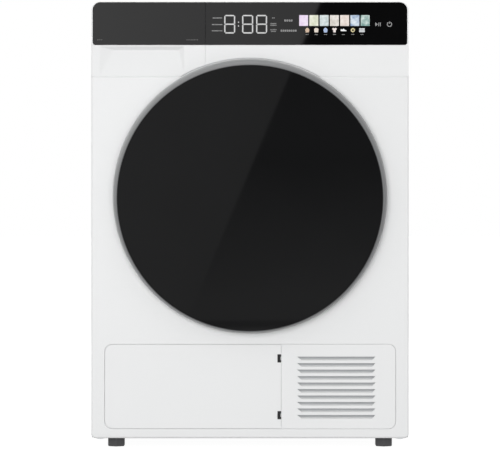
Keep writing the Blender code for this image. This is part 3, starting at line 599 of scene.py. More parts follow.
def makeDoor():
    centre, glassCentre = (0, 0, doorZ), (0, 0, glassZ)
    front, back = doorBox[0].y, doorBox[1].y
    glassFront, glassBack = glassBox[0].y, glassBox[1].y
    r = door["glassRound"]
    pane = softened([(0, glassFront), (glassRadius, glassFront), (glassRadius, glassBack), (0, glassBack)],
                    (0, r, 0.0003, 0), 6)
    standIn("doorGlassPane", turnedMesh(pane, "Y", glassCentre, door["turnSteps"]), "doorGlass", "door_glass")
    inner = glassRadius + 0.0006
    crown = []
    for step in range(door["ringSteps"] + 1):
        angle = math.pi / 2 * step / door["ringSteps"]
        reach = inner + (door["ringOuter"] - inner) * math.sin(angle)
        crown.append((reach, front + door["ringDepth"] * (1 - math.cos(angle))))
    bore = (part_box("door_bowl")[1].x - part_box("door_bowl")[0].x) / 2 + 0.0005
    outer = door["ringOuter"]
    profile = crown + [(outer, back - 0.002), (outer - 0.002, back), (bore, back),
                       (bore, glassBack + 0.0004), (inner, glassBack + 0.0004)]
    ring = turnedMesh(profile, "Y", glassCentre, door["turnSteps"], 50)
    lift = door["ringLift"] + doorZ - glassZ
    for vertex in ring.vertices:
        reach = math.hypot(vertex.co.x, vertex.co.z - glassZ)
        vertex.co.z += lift * max(0.0, min(1.0, (reach - inner) / (outer - inner)))
    pin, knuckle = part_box("hinge_pin"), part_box("hinge_bracket")
    pinX, pinY = (pin[0].x + pin[1].x) / 2, (pin[0].y + pin[1].y) / 2
    room = door["knuckleRoom"]
    pocket = extrudedMesh([(pinX + x, pinY + y) for x, y in door["pocket"]],
                          knuckle[0].z - room, knuckle[1].z + room, "Z")
    mesh = cutMesh(ring, [pocket])
    standIn("doorRing", mesh, "ringLacquer", "door_frame")

    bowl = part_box("door_bowl")
    outer = (bowl[1].x - bowl[0].x) / 2
    rear = bowl[1].y
    dish = softened([(0, rear), (0.160, rear), (0.188, rear - 0.012), (0.188, -0.3120), (outer, -0.3120),
                     (outer, -0.3155), (0.185, -0.3155), (0.185, rear - 0.014), (0.1585, rear - 0.003),
                     (0, rear - 0.003)], (0, 0.010, 0.008, 0, 0.0005, 0.0005, 0.001, 0.006, 0.008, 0))
    standIn("doorPlug", turnedMesh(dish, "Y", centre, 160), "palePlastic", "door_bowl")
    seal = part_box("door_seal")
    sealOuter = (seal[1].x - seal[0].x) / 2
    lips = softened([(0.1885, seal[0].y), (sealOuter, seal[0].y), (sealOuter, -0.2815), (0.1955, seal[1].y),
                     (0.1930, seal[1].y), (0.1985, -0.2830), (0.1940, -0.2830), (0.1900, -0.2795),
                     (0.1885, -0.2800)],
                    (0.0005, 0.001, 0.002, 0.001, 0.001, 0.002, 0.002, 0.0005, 0.0005))
    standIn("doorLipSeal", turnedMesh(lips, "Y", centre, 160), "rubber", "door_seal")
    refinedNode("door_hook", 0.0006, "machinedSteel")
    refinedNode("hinge_pin", 0.0004, "machinedSteel")
    refinedNode("hinge_bracket", 0.0006, "machinedSteel")
    refinedNode("door_lock", 0.0006, "darkPlastic")


makeDoor()
print("door made")


cabinet = {
    "edge": 0.0036, "seamEdge": 0.0004, "creaseEdge": 0.0002, "seam": 0.00004, "sheet": 0.0052,
    "topCorner": 0.0160, "bottomCorner": 0.0080, "arcRadius": 0.2625, "porthole": 0.2050,
    "flapGap": 0.0009, "flapCorner": 0.0138, "lockSlot": (-0.2335, -0.2185),
    "stripDrop": 0.0015, "stripGap": 0.0003, "stripCorner": 0.0142, "stripLowCorner": 0.0047,
}


# the black strip's box, a little lower than its solid's
def stripBox(node):
    low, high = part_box(node)
    return Vector((low.x, low.y, low.z - cabinet["stripDrop"])), high


# the fascia's lower edge, which follows the round top of the door
def arcBelow(x):
    radius = cabinet["arcRadius"]
    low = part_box("control_fascia")[0].z
    if abs(x) >= radius:
        return low
    return max(low, doorZ + math.sqrt(radius ** 2 - x ** 2))


def makeFrontSheet():
    low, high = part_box("front_panel")
    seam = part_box("control_fascia")[0].z - cabinet["seam"]
    radius = cabinet["arcRadius"] - cabinet["seam"]
    side = math.degrees(math.asin((seam - doorZ) / radius))
    corner = cabinet["bottomCorner"]
    outline = roundedLoop(low.x, high.x, low.z, seam, (corner, corner, 0, 0))[:-1]
    outline += arcPoints(0, doorZ, radius, side, 180 - side, 60) + [(low.x, seam)]
    flap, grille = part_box("service_flap"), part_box("service_grille")

    service = (flap[0], Vector((grille[1].x, grille[1].y, flap[1].z)))
    opening = faceLoop(service, (cabinet["flapCorner"],) * 4, grow=cabinet["flapGap"])
    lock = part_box("door_hook")
    slot = roundedLoop(*cabinet["lockSlot"], lock[0].z - 0.002, lock[1].z + 0.002, (0.0015,) * 4, 4)
    edge = cabinet["edge"]
    porthole = arcPoints(0, doorZ, cabinet["porthole"], 0, 357.5, 143)
    sheet = plateMesh([(outline, edge, 0), (porthole, edge, 0.0004), (opening, cabinet["seamEdge"], 0.0004),
                       (slot, 0.0005, 0)], low.y, low.y + cabinet["sheet"])
    ledgeOutside = faceLoop(service, (0.016,) * 4, grow=0.003)
    ledgeInside = faceLoop(service, (0.0095,) * 4, grow=-0.004)
    ledgeLoops = [(ledgeOutside, 0, 0), (ledgeInside, 0.0003, 0)]
    ledge = plateMesh(ledgeLoops, flap[1].y + 0.0007, flap[1].y + 0.0015)
    # a lip just behind the crease keeps its groove shallow
    crease = math.sqrt(radius ** 2 - (seam - doorZ) ** 2)
    lips = [boxMesh((start, low.y + 0.0007, seam - 0.0045), (end, low.y + 0.0045, seam))
            for start, end in ((low.x + 0.0016, -crease - 0.0010), (crease + 0.0010, high.x - 0.0016))]
    wall = 0.0015
    skirt = roundedLoop(low.x, high.x, low.z, seam - 0.0004, (corner, corner, 0, 0))
    inside = roundedLoop(low.x + wall, high.x - wall, low.z + wall, seam + 0.004,
                         (corner - wall, corner - wall, 0, 0))
    half = len(skirt) - 2
    returns = extrudedMesh([skirt[-1]] + skirt[:half + 1] + inside[:half + 1][::-1] + [inside[-1]],
                           low.y + 0.004, high.y)
    standIn("frontSheet", joinedMesh([sheet, ledge, returns] + lips), "whitePaint", "front_panel")


def makeFascia():
    low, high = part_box("control_fascia")
    glass = stripBox("control_glass")
    left = glass[0].x - 0.0006
    gap, corner, lowCorner = cabinet["stripGap"], cabinet["stripCorner"], cabinet["stripLowCorner"]
    topCorner = cabinet["topCorner"]
    cornerX, cornerZ = high.x - topCorner, high.z - topCorner
    face = [(high.x, low.z)] + arcPoints(cornerX, cornerZ, topCorner, 0, 90, 12) + [(left, high.z)]
    face.append((left, arcBelow(left)))
    start = math.degrees(math.atan2(arcBelow(left) - doorZ, left))
    end = math.degrees(math.asin((low.z - doorZ) / cabinet["arcRadius"]))
    face += arcPoints(0, doorZ, cabinet["arcRadius"], start, end, 48)[1:]
    rebate = roundedLoop(left, glass[1].x + gap, glass[0].z - gap, glass[1].z + gap,
                         (0, lowCorner + gap, corner + gap, 0))
    frontFace = [spot for spot in face if spot != (left, high.z)]
    start = frontFace.index((left, arcBelow(left)))
    frontFace = frontFace[:start] + [(left, high.z)] + rebate[::-1] + frontFace[start:]
    inner = glass[1].y + 0.0004
    frontLayer = plateMesh([(frontFace, cabinet["creaseEdge"], 0)], low.y, inner)
    backLayer = plateMesh([(face, 0, 0)], inner - 0.00005, high.y - 0.0115)
    meshes = [frontLayer, backLayer]
    meshes.append(boxMesh((left, high.y - 0.012, 0.722), (left + 0.003, high.y, high.z - 0.001)))
    meshes.append(boxMesh((left, high.y - 0.012, high.z - 0.0035), (cornerX, high.y, high.z - 0.0003)))
    meshes.append(boxMesh((high.x - 0.0032, high.y - 0.012, low.z + 0.0002),
                          (high.x - 0.0002, high.y, cornerZ)))
    cornerOut = arcPoints(cornerX, cornerZ, topCorner - 0.0002, 0, 90, 12)
    cornerIn = arcPoints(cornerX, cornerZ, topCorner - 0.0035, 90, 0, 12)
    meshes.append(extrudedMesh(cornerOut + cornerIn, high.y - 0.012, high.y))
    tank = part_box("tank_body")
    rim = roundedLoop(low.x, left + 0.002, low.z, high.z, (0, 0, 0, topCorner))
    window = roundedLoop(tank[0].x - 0.002, tank[1].x + 0.002, tank[0].z - 0.002, 0.8175, (0.001,) * 4, 2)
    cornered = [spot for spot in rim if not (spot[0] > -0.13 and spot[1] < 0.72)]
    arcStop = math.degrees(math.atan2(0.2486, left + 0.002))
    arcEdge = arcPoints(0, doorZ, cabinet["arcRadius"], 180 - end, arcStop, 20)
    frameLoop = [(low.x, low.z)] + arcEdge + [spot for spot in cornered if spot != (low.x, low.z)]
    meshes.append(plateMesh([(frameLoop, 0, 0), (window, 0, 0)], high.y - 0.0035, high.y))
    standIn("fasciaShell", joinedMesh(meshes), "whitePlastic", "control_fascia")
    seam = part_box("drawer_front")[1].x + 0.0001
    liner = boxMesh((seam, low.y + 0.0004, glass[0].z), (left - 0.00005, high.y, glass[1].z))
    addPiece("seamLiner", liner, "blackPlastic", "control_fascia")
    filler = boxMesh((seam, low.y + 0.0006, arcBelow(seam - 0.0001) + 0.001),
                     (left - 0.00005, high.y, glass[0].z - 0.0002))
    addPiece("seamFiller", filler, "whitePlastic", "control_fascia")
    pane = roundedLoop(left, glass[1].x, glass[0].z, glass[1].z, (0.0003, lowCorner, corner, 0.0003))
    mesh = plateMesh([(pane, 0.0004, 0)], glass[0].y, glass[1].y)
    standIn("controlPane", mesh, "panelGlass", "control_glass")
    strip = stripBox("drawer_trim")
    trim = faceLoop(strip, (lowCorner, 0.0003, 0.0003, corner))
    mesh = plateMesh([(trim, 0.0004, 0)], strip[0].y, strip[1].y)
    standIn("drawerStrip", mesh, "panelGlass", "drawer_trim")


makeFrontSheet()
makeFascia()
print("front sheet and fascia made")


# a tree that repeats the object's own mesh along a step, then sets its material
def repeatTree(name, material):
    tree = bpy.data.node_groups.new(name, "GeometryNodeTree")
    tree.interface.new_socket("Piece", in_out="INPUT", socket_type="NodeSocketGeometry")
    tree.interface.new_socket("Count", in_out="INPUT", socket_type="NodeSocketInt")
    tree.interface.new_socket("Step", in_out="INPUT", socket_type="NodeSocketVector")
    tree.interface.new_socket("Repeated", in_out="OUTPUT", socket_type="NodeSocketGeometry")
    given = tree.nodes.new("NodeGroupInput")
    row = tree.nodes.new("GeometryNodeMeshLine")
    row.mode = "OFFSET"
    copies = tree.nodes.new("GeometryNodeInstanceOnPoints")
    real = tree.nodes.new("GeometryNodeRealizeInstances")
    paint = tree.nodes.new("GeometryNodeSetMaterial")
    paint.inputs["Material"].default_value = material
    result = tree.nodes.new("NodeGroupOutput")
    link(tree, given, "Count", row, "Count")
    link(tree, given, "Step", row, "Offset")
    link(tree, row, "Mesh", copies, "Points")
    link(tree, given, "Piece", copies, "Instance")
    link(tree, copies, "Instances", real, "Geometry")
    link(tree, real, "Geometry", paint, "Geometry")
    link(tree, paint, "Geometry", result, "Repeated")
    return tree


def repeated(mesh, finish, count, step):
    maker = placed("maker", mesh)
    modifier = maker.modifiers.new("repeat", "NODES")
    modifier.node_group = repeatTree("repeat" + finish, finishes[finish])
    sockets = {socket.name: socket.identifier for socket in modifier.node_group.interface.items_tree}
    modifier[sockets["Count"]] = count
    modifier[sockets["Step"]] = step
    keepResult(maker)
    mesh = maker.data
    bpy.data.objects.remove(maker)
    return mesh


drawer = {
    "gripLeft": -0.2817, "gripRight": -0.1235, "gripLow": 0.7000, "gripMiddle": 0.7476, "gripHigh": 0.7538,
    "gripDepth": 0.0058, "leftSlope": 0.24, "rightSlope": 0.55, "blend": 0.0012,
    "sideRound": 0.0028, "seamRound": 0.0005, "columns": 200, "rows": 70,
}


def softMin(first, second, blend):
    mix = max(0.0, min(1.0, 0.5 + 0.5 * (second - first) / blend))
    return second * (1 - mix) + first * mix - blend * mix * (1 - mix)


def gripDepthAt(x, z):
    d = drawer
    if z < d["gripMiddle"]:
        fall = max(0.0, (z - d["gripLow"]) / (d["gripMiddle"] - d["gripLow"]))
        floor = d["gripDepth"] * fall ** 1.15
    else:
        floor = d["gripDepth"] * (d["gripHigh"] - z) / (d["gripHigh"] - d["gripMiddle"])
    left = (x - d["gripLeft"]) * d["leftSlope"]
    right = (d["gripRight"] - x) * d["rightSlope"]
    return max(0.0, softMin(floor, softMin(left, right, d["blend"]), d["blend"]))


def roundedEdge(distance, radius):
    if distance >= radius:
        return 0.0
    return radius - math.sqrt(max(0.0, radius ** 2 - (radius - distance) ** 2))


def spread(start, end, count, near):
    steps = [0.0, 0.00012, 0.0003, 0.0006, 0.0010, 0.0016]
    middle = [near + (end - start - 2 * near) * i / count for i in range(count + 1)]
    return [start + step for step in steps + middle] + [end - step for step in steps[::-1]]


def makeDrawer():
    low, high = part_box("drawer_front")
    strip = stripBox("drawer_trim")
    top = strip[0].z - 0.0004
    columns = spread(low.x, high.x, drawer["columns"], 0.0024)
    shape = bmesh.new()
    grid = []
    for x in columns:
        start = arcBelow(x)
        line = []
        for share in spread(0, top - start, drawer["rows"], 0.0024):
            z = start + share
            side = roundedEdge(x - low.x, drawer["sideRound"]) + roundedEdge(high.x - x, drawer["seamRound"])
            y = low.y + side + roundedEdge(share, cabinet["creaseEdge"]) + gripDepthAt(x, z)
            line.append(shape.verts.new((x, min(y, high.y - 0.001), z)))
        grid.append(line)
    for near, far in zip(grid, grid[1:]):
        for i in range(len(near) - 1):
            shape.faces.new((near[i], far[i], far[i + 1], near[i + 1]))
    rim = [line[0] for line in grid] + grid[-1][1:] + [line[-1] for line in grid[::-1]][1:] + grid[0][-2:0:-1]
    behind = [shape.verts.new((spot.co.x, high.y, spot.co.z)) for spot in rim]
    for i in range(len(rim)):
        shape.faces.new((rim[i - 1], rim[i], behind[i], behind[i - 1]))
    edges = [shape.edges.get((behind[i - 1], behind[i])) for i in range(len(rim))]
    bmesh.ops.triangle_fill(shape, edges=edges)
    face = cleanMesh(shape, 50)

    gap, corner, lowCorner = cabinet["stripGap"], cabinet["stripCorner"], cabinet["stripLowCorner"]
    topCorner = cabinet["topCorner"]
    line = [(low.x, top), (strip[0].x + lowCorner, top)]
    line += arcPoints(strip[0].x + lowCorner - gap, strip[0].z + lowCorner - gap, lowCorner, 270, 180, 6)
    line += arcPoints(strip[0].x + corner, strip[1].z - corner, corner + gap, 180, 90, 12)
    line += [(high.x, strip[1].z + gap), (high.x, high.z)]
    line += arcPoints(low.x + topCorner, high.z - topCorner, topCorner, 90, 180, 12)
    front = plateMesh([(line, 0.0005, 0)], low.y, strip[1].y + 0.0004)
    backing = roundedLoop(low.x, high.x, top + 0.0002, high.z, (0, 0, 0, topCorner))
    back = plateMesh([(backing, 0, 0.0004)], strip[1].y + 0.0003, high.y)
    standIn("drawerFace", joinedMesh([face, front, back]), "whitePlastic", "drawer_front")

    tank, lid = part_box("tank_body"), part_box("tank_lid")
    wall = 0.002
    outer = faceLoop(tank, (0.006, 0.006, 0, 0), 6)
    inner = roundedLoop(tank[0].x + wall, tank[1].x - wall, tank[0].z + wall, tank[1].z,
                        (0.004, 0.004, 0, 0), 6)
    tub = extrudedMesh(outer + inner[::-1], tank[0].y + 0.0006, tank[1].y - 0.0006)
    ends = [boxMesh((tank[0].x + wall, y, tank[0].z + wall), (tank[1].x - wall, y + wall, tank[1].z))
            for y in (tank[0].y + 0.0006, tank[1].y - wall - 0.0006)]
    rib = boxMesh((tank[0].x + 0.012, -0.235, tank[1].z - 0.003),
                  (tank[1].x - 0.012, -0.233, tank[1].z - 0.0005))
    ribs = repeated(rib, "palePlastic", 8, (0, 0.052, 0))
    standIn("waterTank", joinedMesh([tub, ribs] + ends), "palePlastic", "tank_body", 0.0004)
    refinedNode("tank_lid", 0.0006, "greyPlastic")
    refinedNode("tank_housing", 0.0005, "greyPlastic")


makeDrawer()
print("drawer made")

service = {
    "outerCorner": 0.016, "slotLeft": 0.0516, "slotHeight": 0.0154, "slotLows": (0.0537, 0.1603),
    "louvres": 10, "louvreTop": 0.1713, "louvrePitch": 0.01217, "louvreHeight": 0.0068,
    "louvreLeft": 0.0888, "louvreRight": 0.2355, "leftLean": 1.2, "rightLean": 0.95,
}


def makeService():
    low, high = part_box("service_flap")
    corner = service["outerCorner"]
    line = faceLoop((low, high), (corner, 0, 0, corner))
    bottomRight = line.index((high.x, low.z))
    notched = []
    for start in service["slotLows"]:
        end = start + service["slotHeight"]
        notched += [(high.x, start), (service["slotLeft"], start), (service["slotLeft"], end), (high.x, end)]
    line = line[:bottomRight + 1] + notched + line[bottomRight + 1:]
    meshes = [plateMesh([(line, 0.0005, 0.0002)], low.y, high.y)]
    backs = []
    for start in service["slotLows"]:
        end = start + service["slotHeight"]
        tongue = roundedLoop(high.x - 0.0012, high.x - 0.0001, start + 0.0046, end - 0.0046,
                             (0.0005, 0, 0, 0.0005), 4)
        meshes.append(plateMesh([(tongue, 0.0006, 0)], low.y + 0.0005, high.y))
        backs.append(boxMesh((service["slotLeft"] - 0.001, high.y + 0.0001, start - 0.001),
                             (high.x, high.y + 0.0006, end + 0.001)))
    standIn("flapDoor", joinedMesh(meshes), "whitePlastic", "service_flap")
    addPiece("flapPockets", joinedMesh(backs), "blackPlastic", "service_flap")
    for node in ("flap_latch_upper", "flap_latch_lower"):
        a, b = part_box(node)
        pinch = [(a.x - 0.0005, a.z), (b.x, a.z), (b.x, a.z + 0.0034), (b.x - 0.0014, a.z + 0.0044),
                 (b.x - 0.0014, b.z - 0.0044), (b.x, b.z - 0.0034), (b.x, b.z), (a.x - 0.0005, b.z)]
        standIn(node + "Nose", plateMesh([(pinch, 0.0003, 0)], a.y, low.y + 0.0019), "blackPlastic", node)

    a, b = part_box("service_grille")
    corner = cabinet["flapCorner"]
    outline = faceLoop((a, b), (0, corner, corner, 0))
    loops = [(outline, 0.0005, 0)]
    s = service
    for row in range(s["louvres"]):
        top = s["louvreTop"] - row * s["louvrePitch"]
        drop = s["louvreHeight"]
        slot = [(s["louvreLeft"] + s["leftLean"] * drop, top - drop),
                (s["louvreRight"] - s["rightLean"] * drop, top - drop),
                (s["louvreRight"], top), (s["louvreLeft"], top)]
        loops.append((slot, 0.00025, 0))
    plate = plateMesh(loops, a.y, a.y + 0.0045, 2)
    top, drop = s["louvreTop"], s["louvreHeight"]
    section = [(a.y + 0.0001, top - drop), (a.y + 0.0044, top - 0.0043), (b.y - 0.0005, top - 0.0043),
               (b.y - 0.0005, top - drop - 0.0006), (a.y + 0.0040, top - drop - 0.0006)]
    blade = extrudedMesh(section, s["louvreLeft"] - 0.001, s["louvreRight"] + 0.001, "X")
    blades = repeated(blade, "whitePlastic", s["louvres"], (0, 0, -s["louvrePitch"]))
    lip = boxMesh((high.x + 0.0003, a.y + 0.0005, a.z + 0.0022), (a.x + 0.0003, a.y + 0.0030, b.z - 0.0022))
    standIn("airGrille", joinedMesh([plate, blades, lip]), "whitePlastic", "service_grille")
    screen = boxMesh((s["louvreLeft"] - 0.002, b.y - 0.0010, top - 9 * s["louvrePitch"] - drop - 0.002),
                     (s["louvreRight"] + 0.002, b.y, top + 0.002))
    addPiece("airScreen", screen, "greyPlastic", "service_grille")


makeService()
print("service door and grille made")

shell = {
    "beadDepth": 0.0011, "beadWidth": 0.014, "beadCorner": 0.045,
    "beadBack": 0.250, "beadFront": -0.215, "beadLow": 0.105, "beadHigh": 0.735, "crossBeads": (0.315, 0.525),
    "screwHead": 0.0042, "screwRise": 0.0017, "crossHalf": 0.0024, "crossThin": 0.0006,
    "screwSides": (-0.284, 0.284), "screwLow": 0.045, "screwRows": (0.0290, 0.8080), "screwLeft": -0.210,
    "ribSides": (-0.165, 0.165), "ribHalf": 0.0035, "ribEnds": (0.130, 0.665),
    "barHalf": 0.135, "barEnds": (0.150, 0.156), "barPitch": 0.022,
    "coverScrews": ((0.21756, 0.115), (0.21756, 0.680)),
    "pinHalf": 0.0012, "pinEnds": (0.3040, 0.3120),
    "pinPlaces": ((-0.0028, 0.0015), (0.0028, 0.0015), (0, -0.0025)),
}


def beadDepthAt(y, z):
    s = shell
    middleY, middleZ = (s["beadBack"] + s["beadFront"]) / 2, (s["beadHigh"] + s["beadLow"]) / 2
    overY = abs(y - middleY) - (s["beadBack"] - s["beadFront"]) / 2 + s["beadCorner"]
    overZ = abs(z - middleZ) - (s["beadHigh"] - s["beadLow"]) / 2 + s["beadCorner"]
    outside = math.hypot(max(overY, 0), max(overZ, 0)) + min(max(overY, overZ), 0) - s["beadCorner"]
    nearest = abs(outside)
    if outside < 0:
        nearest = min([nearest] + [math.hypot(abs(z - cross), max(0, 0.03 + outside))
                                   for cross in s["crossBeads"]])
    share = min(1.0, nearest / (s["beadWidth"] / 2))
    return s["beadDepth"] * 0.5 * (1 + math.cos(math.pi * share))


def closeLines(start, end, coarse, places):
    lines = {start, end}
    count = round((end - start) / coarse)
    lines.update(start + (end - start) * i / count for i in range(count + 1))
    for place, reach in places:
        steps = round(2 * reach / 0.0018)
        lines.update(place - reach + 2 * reach * i / steps for i in range(steps + 1))
    kept = []
    for line in sorted(lines):
        if start <= line <= end and (not kept or line - kept[-1] > 0.0006):
            kept.append(line)
    kept[-1] = end
    return kept


def makeSidePanels():
    s = shell
    for node, side in (("side_panel_left", -1), ("side_panel_right", 1)):
        low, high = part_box(node)
        beads = [(s["beadFront"] + 0.018, 0.028), (s["beadBack"] - 0.018, 0.028)]
        acrossLines = closeLines(low.y, high.y, 0.02, beads)
        upLines = closeLines(low.z, high.z, 0.02,
                             [(s["beadLow"] + 0.018, 0.028), (s["beadHigh"] - 0.018, 0.028)]
                             + [(cross, 0.009) for cross in s["crossBeads"]])
        outerX = high.x if side > 0 else low.x
        shape = bmesh.new()
        skins = []
        for inward in (0.0, 0.0014):
            skins.append([[shape.verts.new((outerX - side * (beadDepthAt(y, z) + inward), y, z))
                           for z in upLines]
                          for y in acrossLines])
        for skin in skins:
            for near, far in zip(skin, skin[1:]):
                for i in range(len(near) - 1):
                    shape.faces.new((near[i], far[i], far[i + 1], near[i + 1]))
        outer, inner = [[line[0] for line in skin] + skin[-1][1:] + [line[-1] for line in skin[::-1]][1:]
                        + skin[0][-2:0:-1] for skin in skins]
        for i in range(len(outer)):
            shape.faces.new((outer[i - 1], outer[i], inner[i], inner[i - 1]))
        standIn(node + "Sheet", cleanMesh(shape, 50), "whitePaint", node)


def screwMesh(x, y, z):
    # a pan head with a cross recess, facing the back
    s = shell
    head = [(0, y), (s["screwHead"], y), (s["screwHead"], y + 0.0006),
            (s["screwHead"] * 0.72, y + s["screwRise"]), (0, y + s["screwRise"])]
    bars = []
    for wide, tall in ((s["crossHalf"], s["crossThin"]), (s["crossThin"], s["crossHalf"])):
        bars.append(boxMesh((x - wide, y + s["screwRise"] - 0.0009, z - tall),
                            (x + wide, y + 0.003, z + tall)))
    return cutMesh(turnedMesh(head, "Y", (x, 0, z), 20), bars)


def makeShell():
    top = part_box("worktop")
    lid = faceLoop(top, (0.0012, 0.0012) + (cabinet["topCorner"],) * 2)
    standIn("topBoard", plateMesh([(lid, 0.0008, 0.0008)], top[0].y, top[1].y), "whiteLaminate", "worktop")
    makeSidePanels()
    refinedNode("rear_panel", 0.0004, "zincSheet")
    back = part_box("rear_panel")
    rear = back[1].y + 0.0001
    s = shell
    screws = []
    for x in s["screwSides"]:
        screws.append(repeated(screwMesh(x, rear, s["screwLow"]), "machinedSteel", 6, (0, 0, 0.148)))
    for z in s["screwRows"]:
        screws.append(repeated(screwMesh(s["screwLeft"], rear, z), "machinedSteel", 5, (0.105, 0, 0)))
    addPiece("rearScrews", joinedMesh(screws), "machinedSteel", "rear_panel")

    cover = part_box("rear_duct_cover")
    face = cover[1].y
    outline = faceLoop(cover, (0.06,) * 4, 20)
    skin = plateMesh([(outline, 0, 0.009)], face - 0.018, face - 0.0022, 6)
    ribs = []
    for x in s["ribSides"]:
        rib = roundedLoop(x - s["ribHalf"], x + s["ribHalf"], *s["ribEnds"], (0.0034,) * 4, 5)
        ribs.append(plateMesh([(rib, 0, 0.0012)], face - 0.0030, face - 0.0003, 3))
    bar = roundedLoop(-s["barHalf"], s["barHalf"], *s["barEnds"], (0.0029,) * 4, 5)
    bar = plateMesh([(bar, 0, 0.0012)], face - 0.0030, face - 0.0003, 3)
    ribs.append(repeated(bar, "greyPlastic", 6, (0, 0, s["barPitch"])))
    boss = softened([(0.075, face - 0.003), (0.092, face - 0.003), (0.089, face), (0.078, face)],
                    (0, 0.0008, 0.001, 0.001))
    ribs.append(turnedMesh(boss, "Y", (0, 0, doorZ), 96))
    tabs = []
    for x, z in s["coverScrews"]:
        tabs += [screwMesh(side * x, face - 0.0026, z) for side in (-1, 1)]
    standIn("ductCover", joinedMesh([skin] + ribs), "greyPlastic", "rear_duct_cover")
    addPiece("ductCoverScrews", joinedMesh(tabs), "machinedSteel", "rear_duct_cover")

    refinedNode("mains_inlet", 0.0006, "blackPlastic")
    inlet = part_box("mains_inlet")
    pinX, pinZ, half = (inlet[0].x + inlet[1].x) / 2, (inlet[0].z + inlet[1].z) / 2, s["pinHalf"]
    near, far = s["pinEnds"]
    pins = [boxMesh((pinX + x - half, near, pinZ + z - half), (pinX + x + half, far, pinZ + z + half))
            for x, z in s["pinPlaces"]]
    addPiece("inletPins", joinedMesh(pins), "machinedSteel", "mains_inlet", 0.0002)
    refinedNode("base_pan", 0.0008, "greyPlastic")
    for node in ("foot_front_left", "foot_front_right", "foot_rear_left", "foot_rear_right"):
        refinedNode(node, 0.0007, "darkPlastic")


makeShell()
print("outer shell and feet made")

tub = {
    "turnSteps": 192, "beadPlaces": (-0.120, -0.040, 0.100, 0.170), "beadRise": 0.0016, "beadHalf": 0.006,
    "sheet": 0.0014, "mouth": 0.2225, "backFront": 0.2266, "holeRadius": 0.0048,
    "holeRings": ((0.085, 18), (0.110, 24), (0.135, 30), (0.160, 36)),
    "meshPitch": 0.0042,
}


def drumRadiusAt(y, radius):
    rise = 0.0
    for place in tub["beadPlaces"]:
        share = min(1.0, abs(y - place) / tub["beadHalf"])
        rise = max(rise, tub["beadRise"] * 0.5 * (1 + math.cos(math.pi * share)))
    return radius - rise


def makeDrum():
    centre = (0, 0, doorZ)
    low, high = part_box("drum")
    radius = (high.x - low.x) / 2
    walls = []
    for place in tub["beadPlaces"]:
        walls += [place + tub["beadHalf"] * share for share in (-1, -0.6, -0.3, 0, 0.3, 0.6, 1)]
    sheet, mouth, back = tub["sheet"], tub["mouth"], tub["backFront"]
    outer = [(mouth, low.y), (0.2718, low.y), (0.2790, low.y + 0.004), (radius, low.y + 0.011)]
    outer += [(drumRadiusAt(y, radius), y) for y in walls]
    outer += [(radius, 0.2215), (0.2785, 0.2265), (0.2735, high.y), (0.2300, high.y), (0, high.y)]
    inner = [(0, back), (0.2290, back), (0.2728, back), (0.2772, 0.2258), (0.2786, 0.2215)]
    inner += [(drumRadiusAt(y, radius - sheet), y) for y in walls[::-1]]
    inner += [(0.2786, low.y + 0.011), (0.2778, low.y + 0.005), (0.2714, low.y + sheet),
              (mouth, low.y + sheet)]
    holes = []
    wide = tub["holeRadius"]
    for reach, count in tub["holeRings"]:
        for number in range(count):
            angle = 2 * math.pi * number / count
            spot = (reach * math.cos(angle), 0, doorZ + reach * math.sin(angle))
            hole = [(0, 0.220), (wide, 0.220), (wide, 0.236), (0, 0.236)]
            holes.append(turnedMesh(hole, "Y", spot, 12))
    mesh = cutMesh(turnedMesh(outer + inner, "Y", centre, tub["turnSteps"]), [joinedMesh(holes)])
    mesh.shade_smooth()
    mesh.set_sharp_from_angle(angle=math.radians(35))
    standIn("drumShell", mesh, "brushedSteel", "drum")
    refinedNode("drum_shaft", 0.0008, "machinedSteel")
    for number in (1, 2, 3):
        refinedNode(f"drum_lifter_{number}", 0.0045, "palePlastic", 20)
    refinedNode("drum_felt", 0.0015, "pressedFelt")
    refinedNode("front_bulkhead", 0.0010, "palePlastic")
    refinedNode("lint_filter", 0.0010, "greyPlastic")
    pitch = tub["meshPitch"]
    bar = boxMesh((-0.099, -0.2290, 0.1500), (0.099, -0.2280, 0.1508))
    post = boxMesh((-0.0995, -0.2284, 0.1485), (-0.0987, -0.2274, 0.2400))
    bars = repeated(bar, "greyPlastic", 22, (0, 0, pitch))
    posts = repeated(post, "greyPlastic", 48, (pitch, 0, 0))
    addPiece("filterMesh", joinedMesh([bars, posts]), "blackPlastic", "lint_filter")


makeDrum()
print("drum and filter made")

inside = {
    "display_board": (0.0002, "greenBoard"), "control_module": (0.0010, "greyPlastic"),
    "rear_bulkhead": (0.0003, "zincSheet"), "drum_bearing": (0.0006, "machinedSteel"),
    "motor_stator": (0.0010, "zincSheet"), "motor_shaft": (0.0004, "machinedSteel"),
    "idler_arm": (0.0005, "zincSheet"), "idler_pulley": (0.0006, "darkPlastic"),
    "tension_spring": (0.0002, "machinedSteel"), "drive_belt": (0.0003, "rubber"),
    "fan_housing": (0.0010, "greyPlastic"), "fan_impeller": (0.0004, "palePlastic"),
    "compressor": (0.0030, "blackPaint"), "evaporator": (0.0002, "finAluminium"),
    "condenser": (0.0002, "finAluminium"), "refrigerant_pipe": (0.0002, "copperTube"),
    "condensate_pump": (0.0010, "greyPlastic"), "exchanger_cover": (0.0012, "palePlastic"),
    "support_roller_left": (0.0006, "rubber"), "support_roller_right": (0.0006, "rubber"),
}
for node, (bevel, finish) in inside.items():
    refinedNode(node, bevel, finish)
print("inner pieces made:", len(inside))

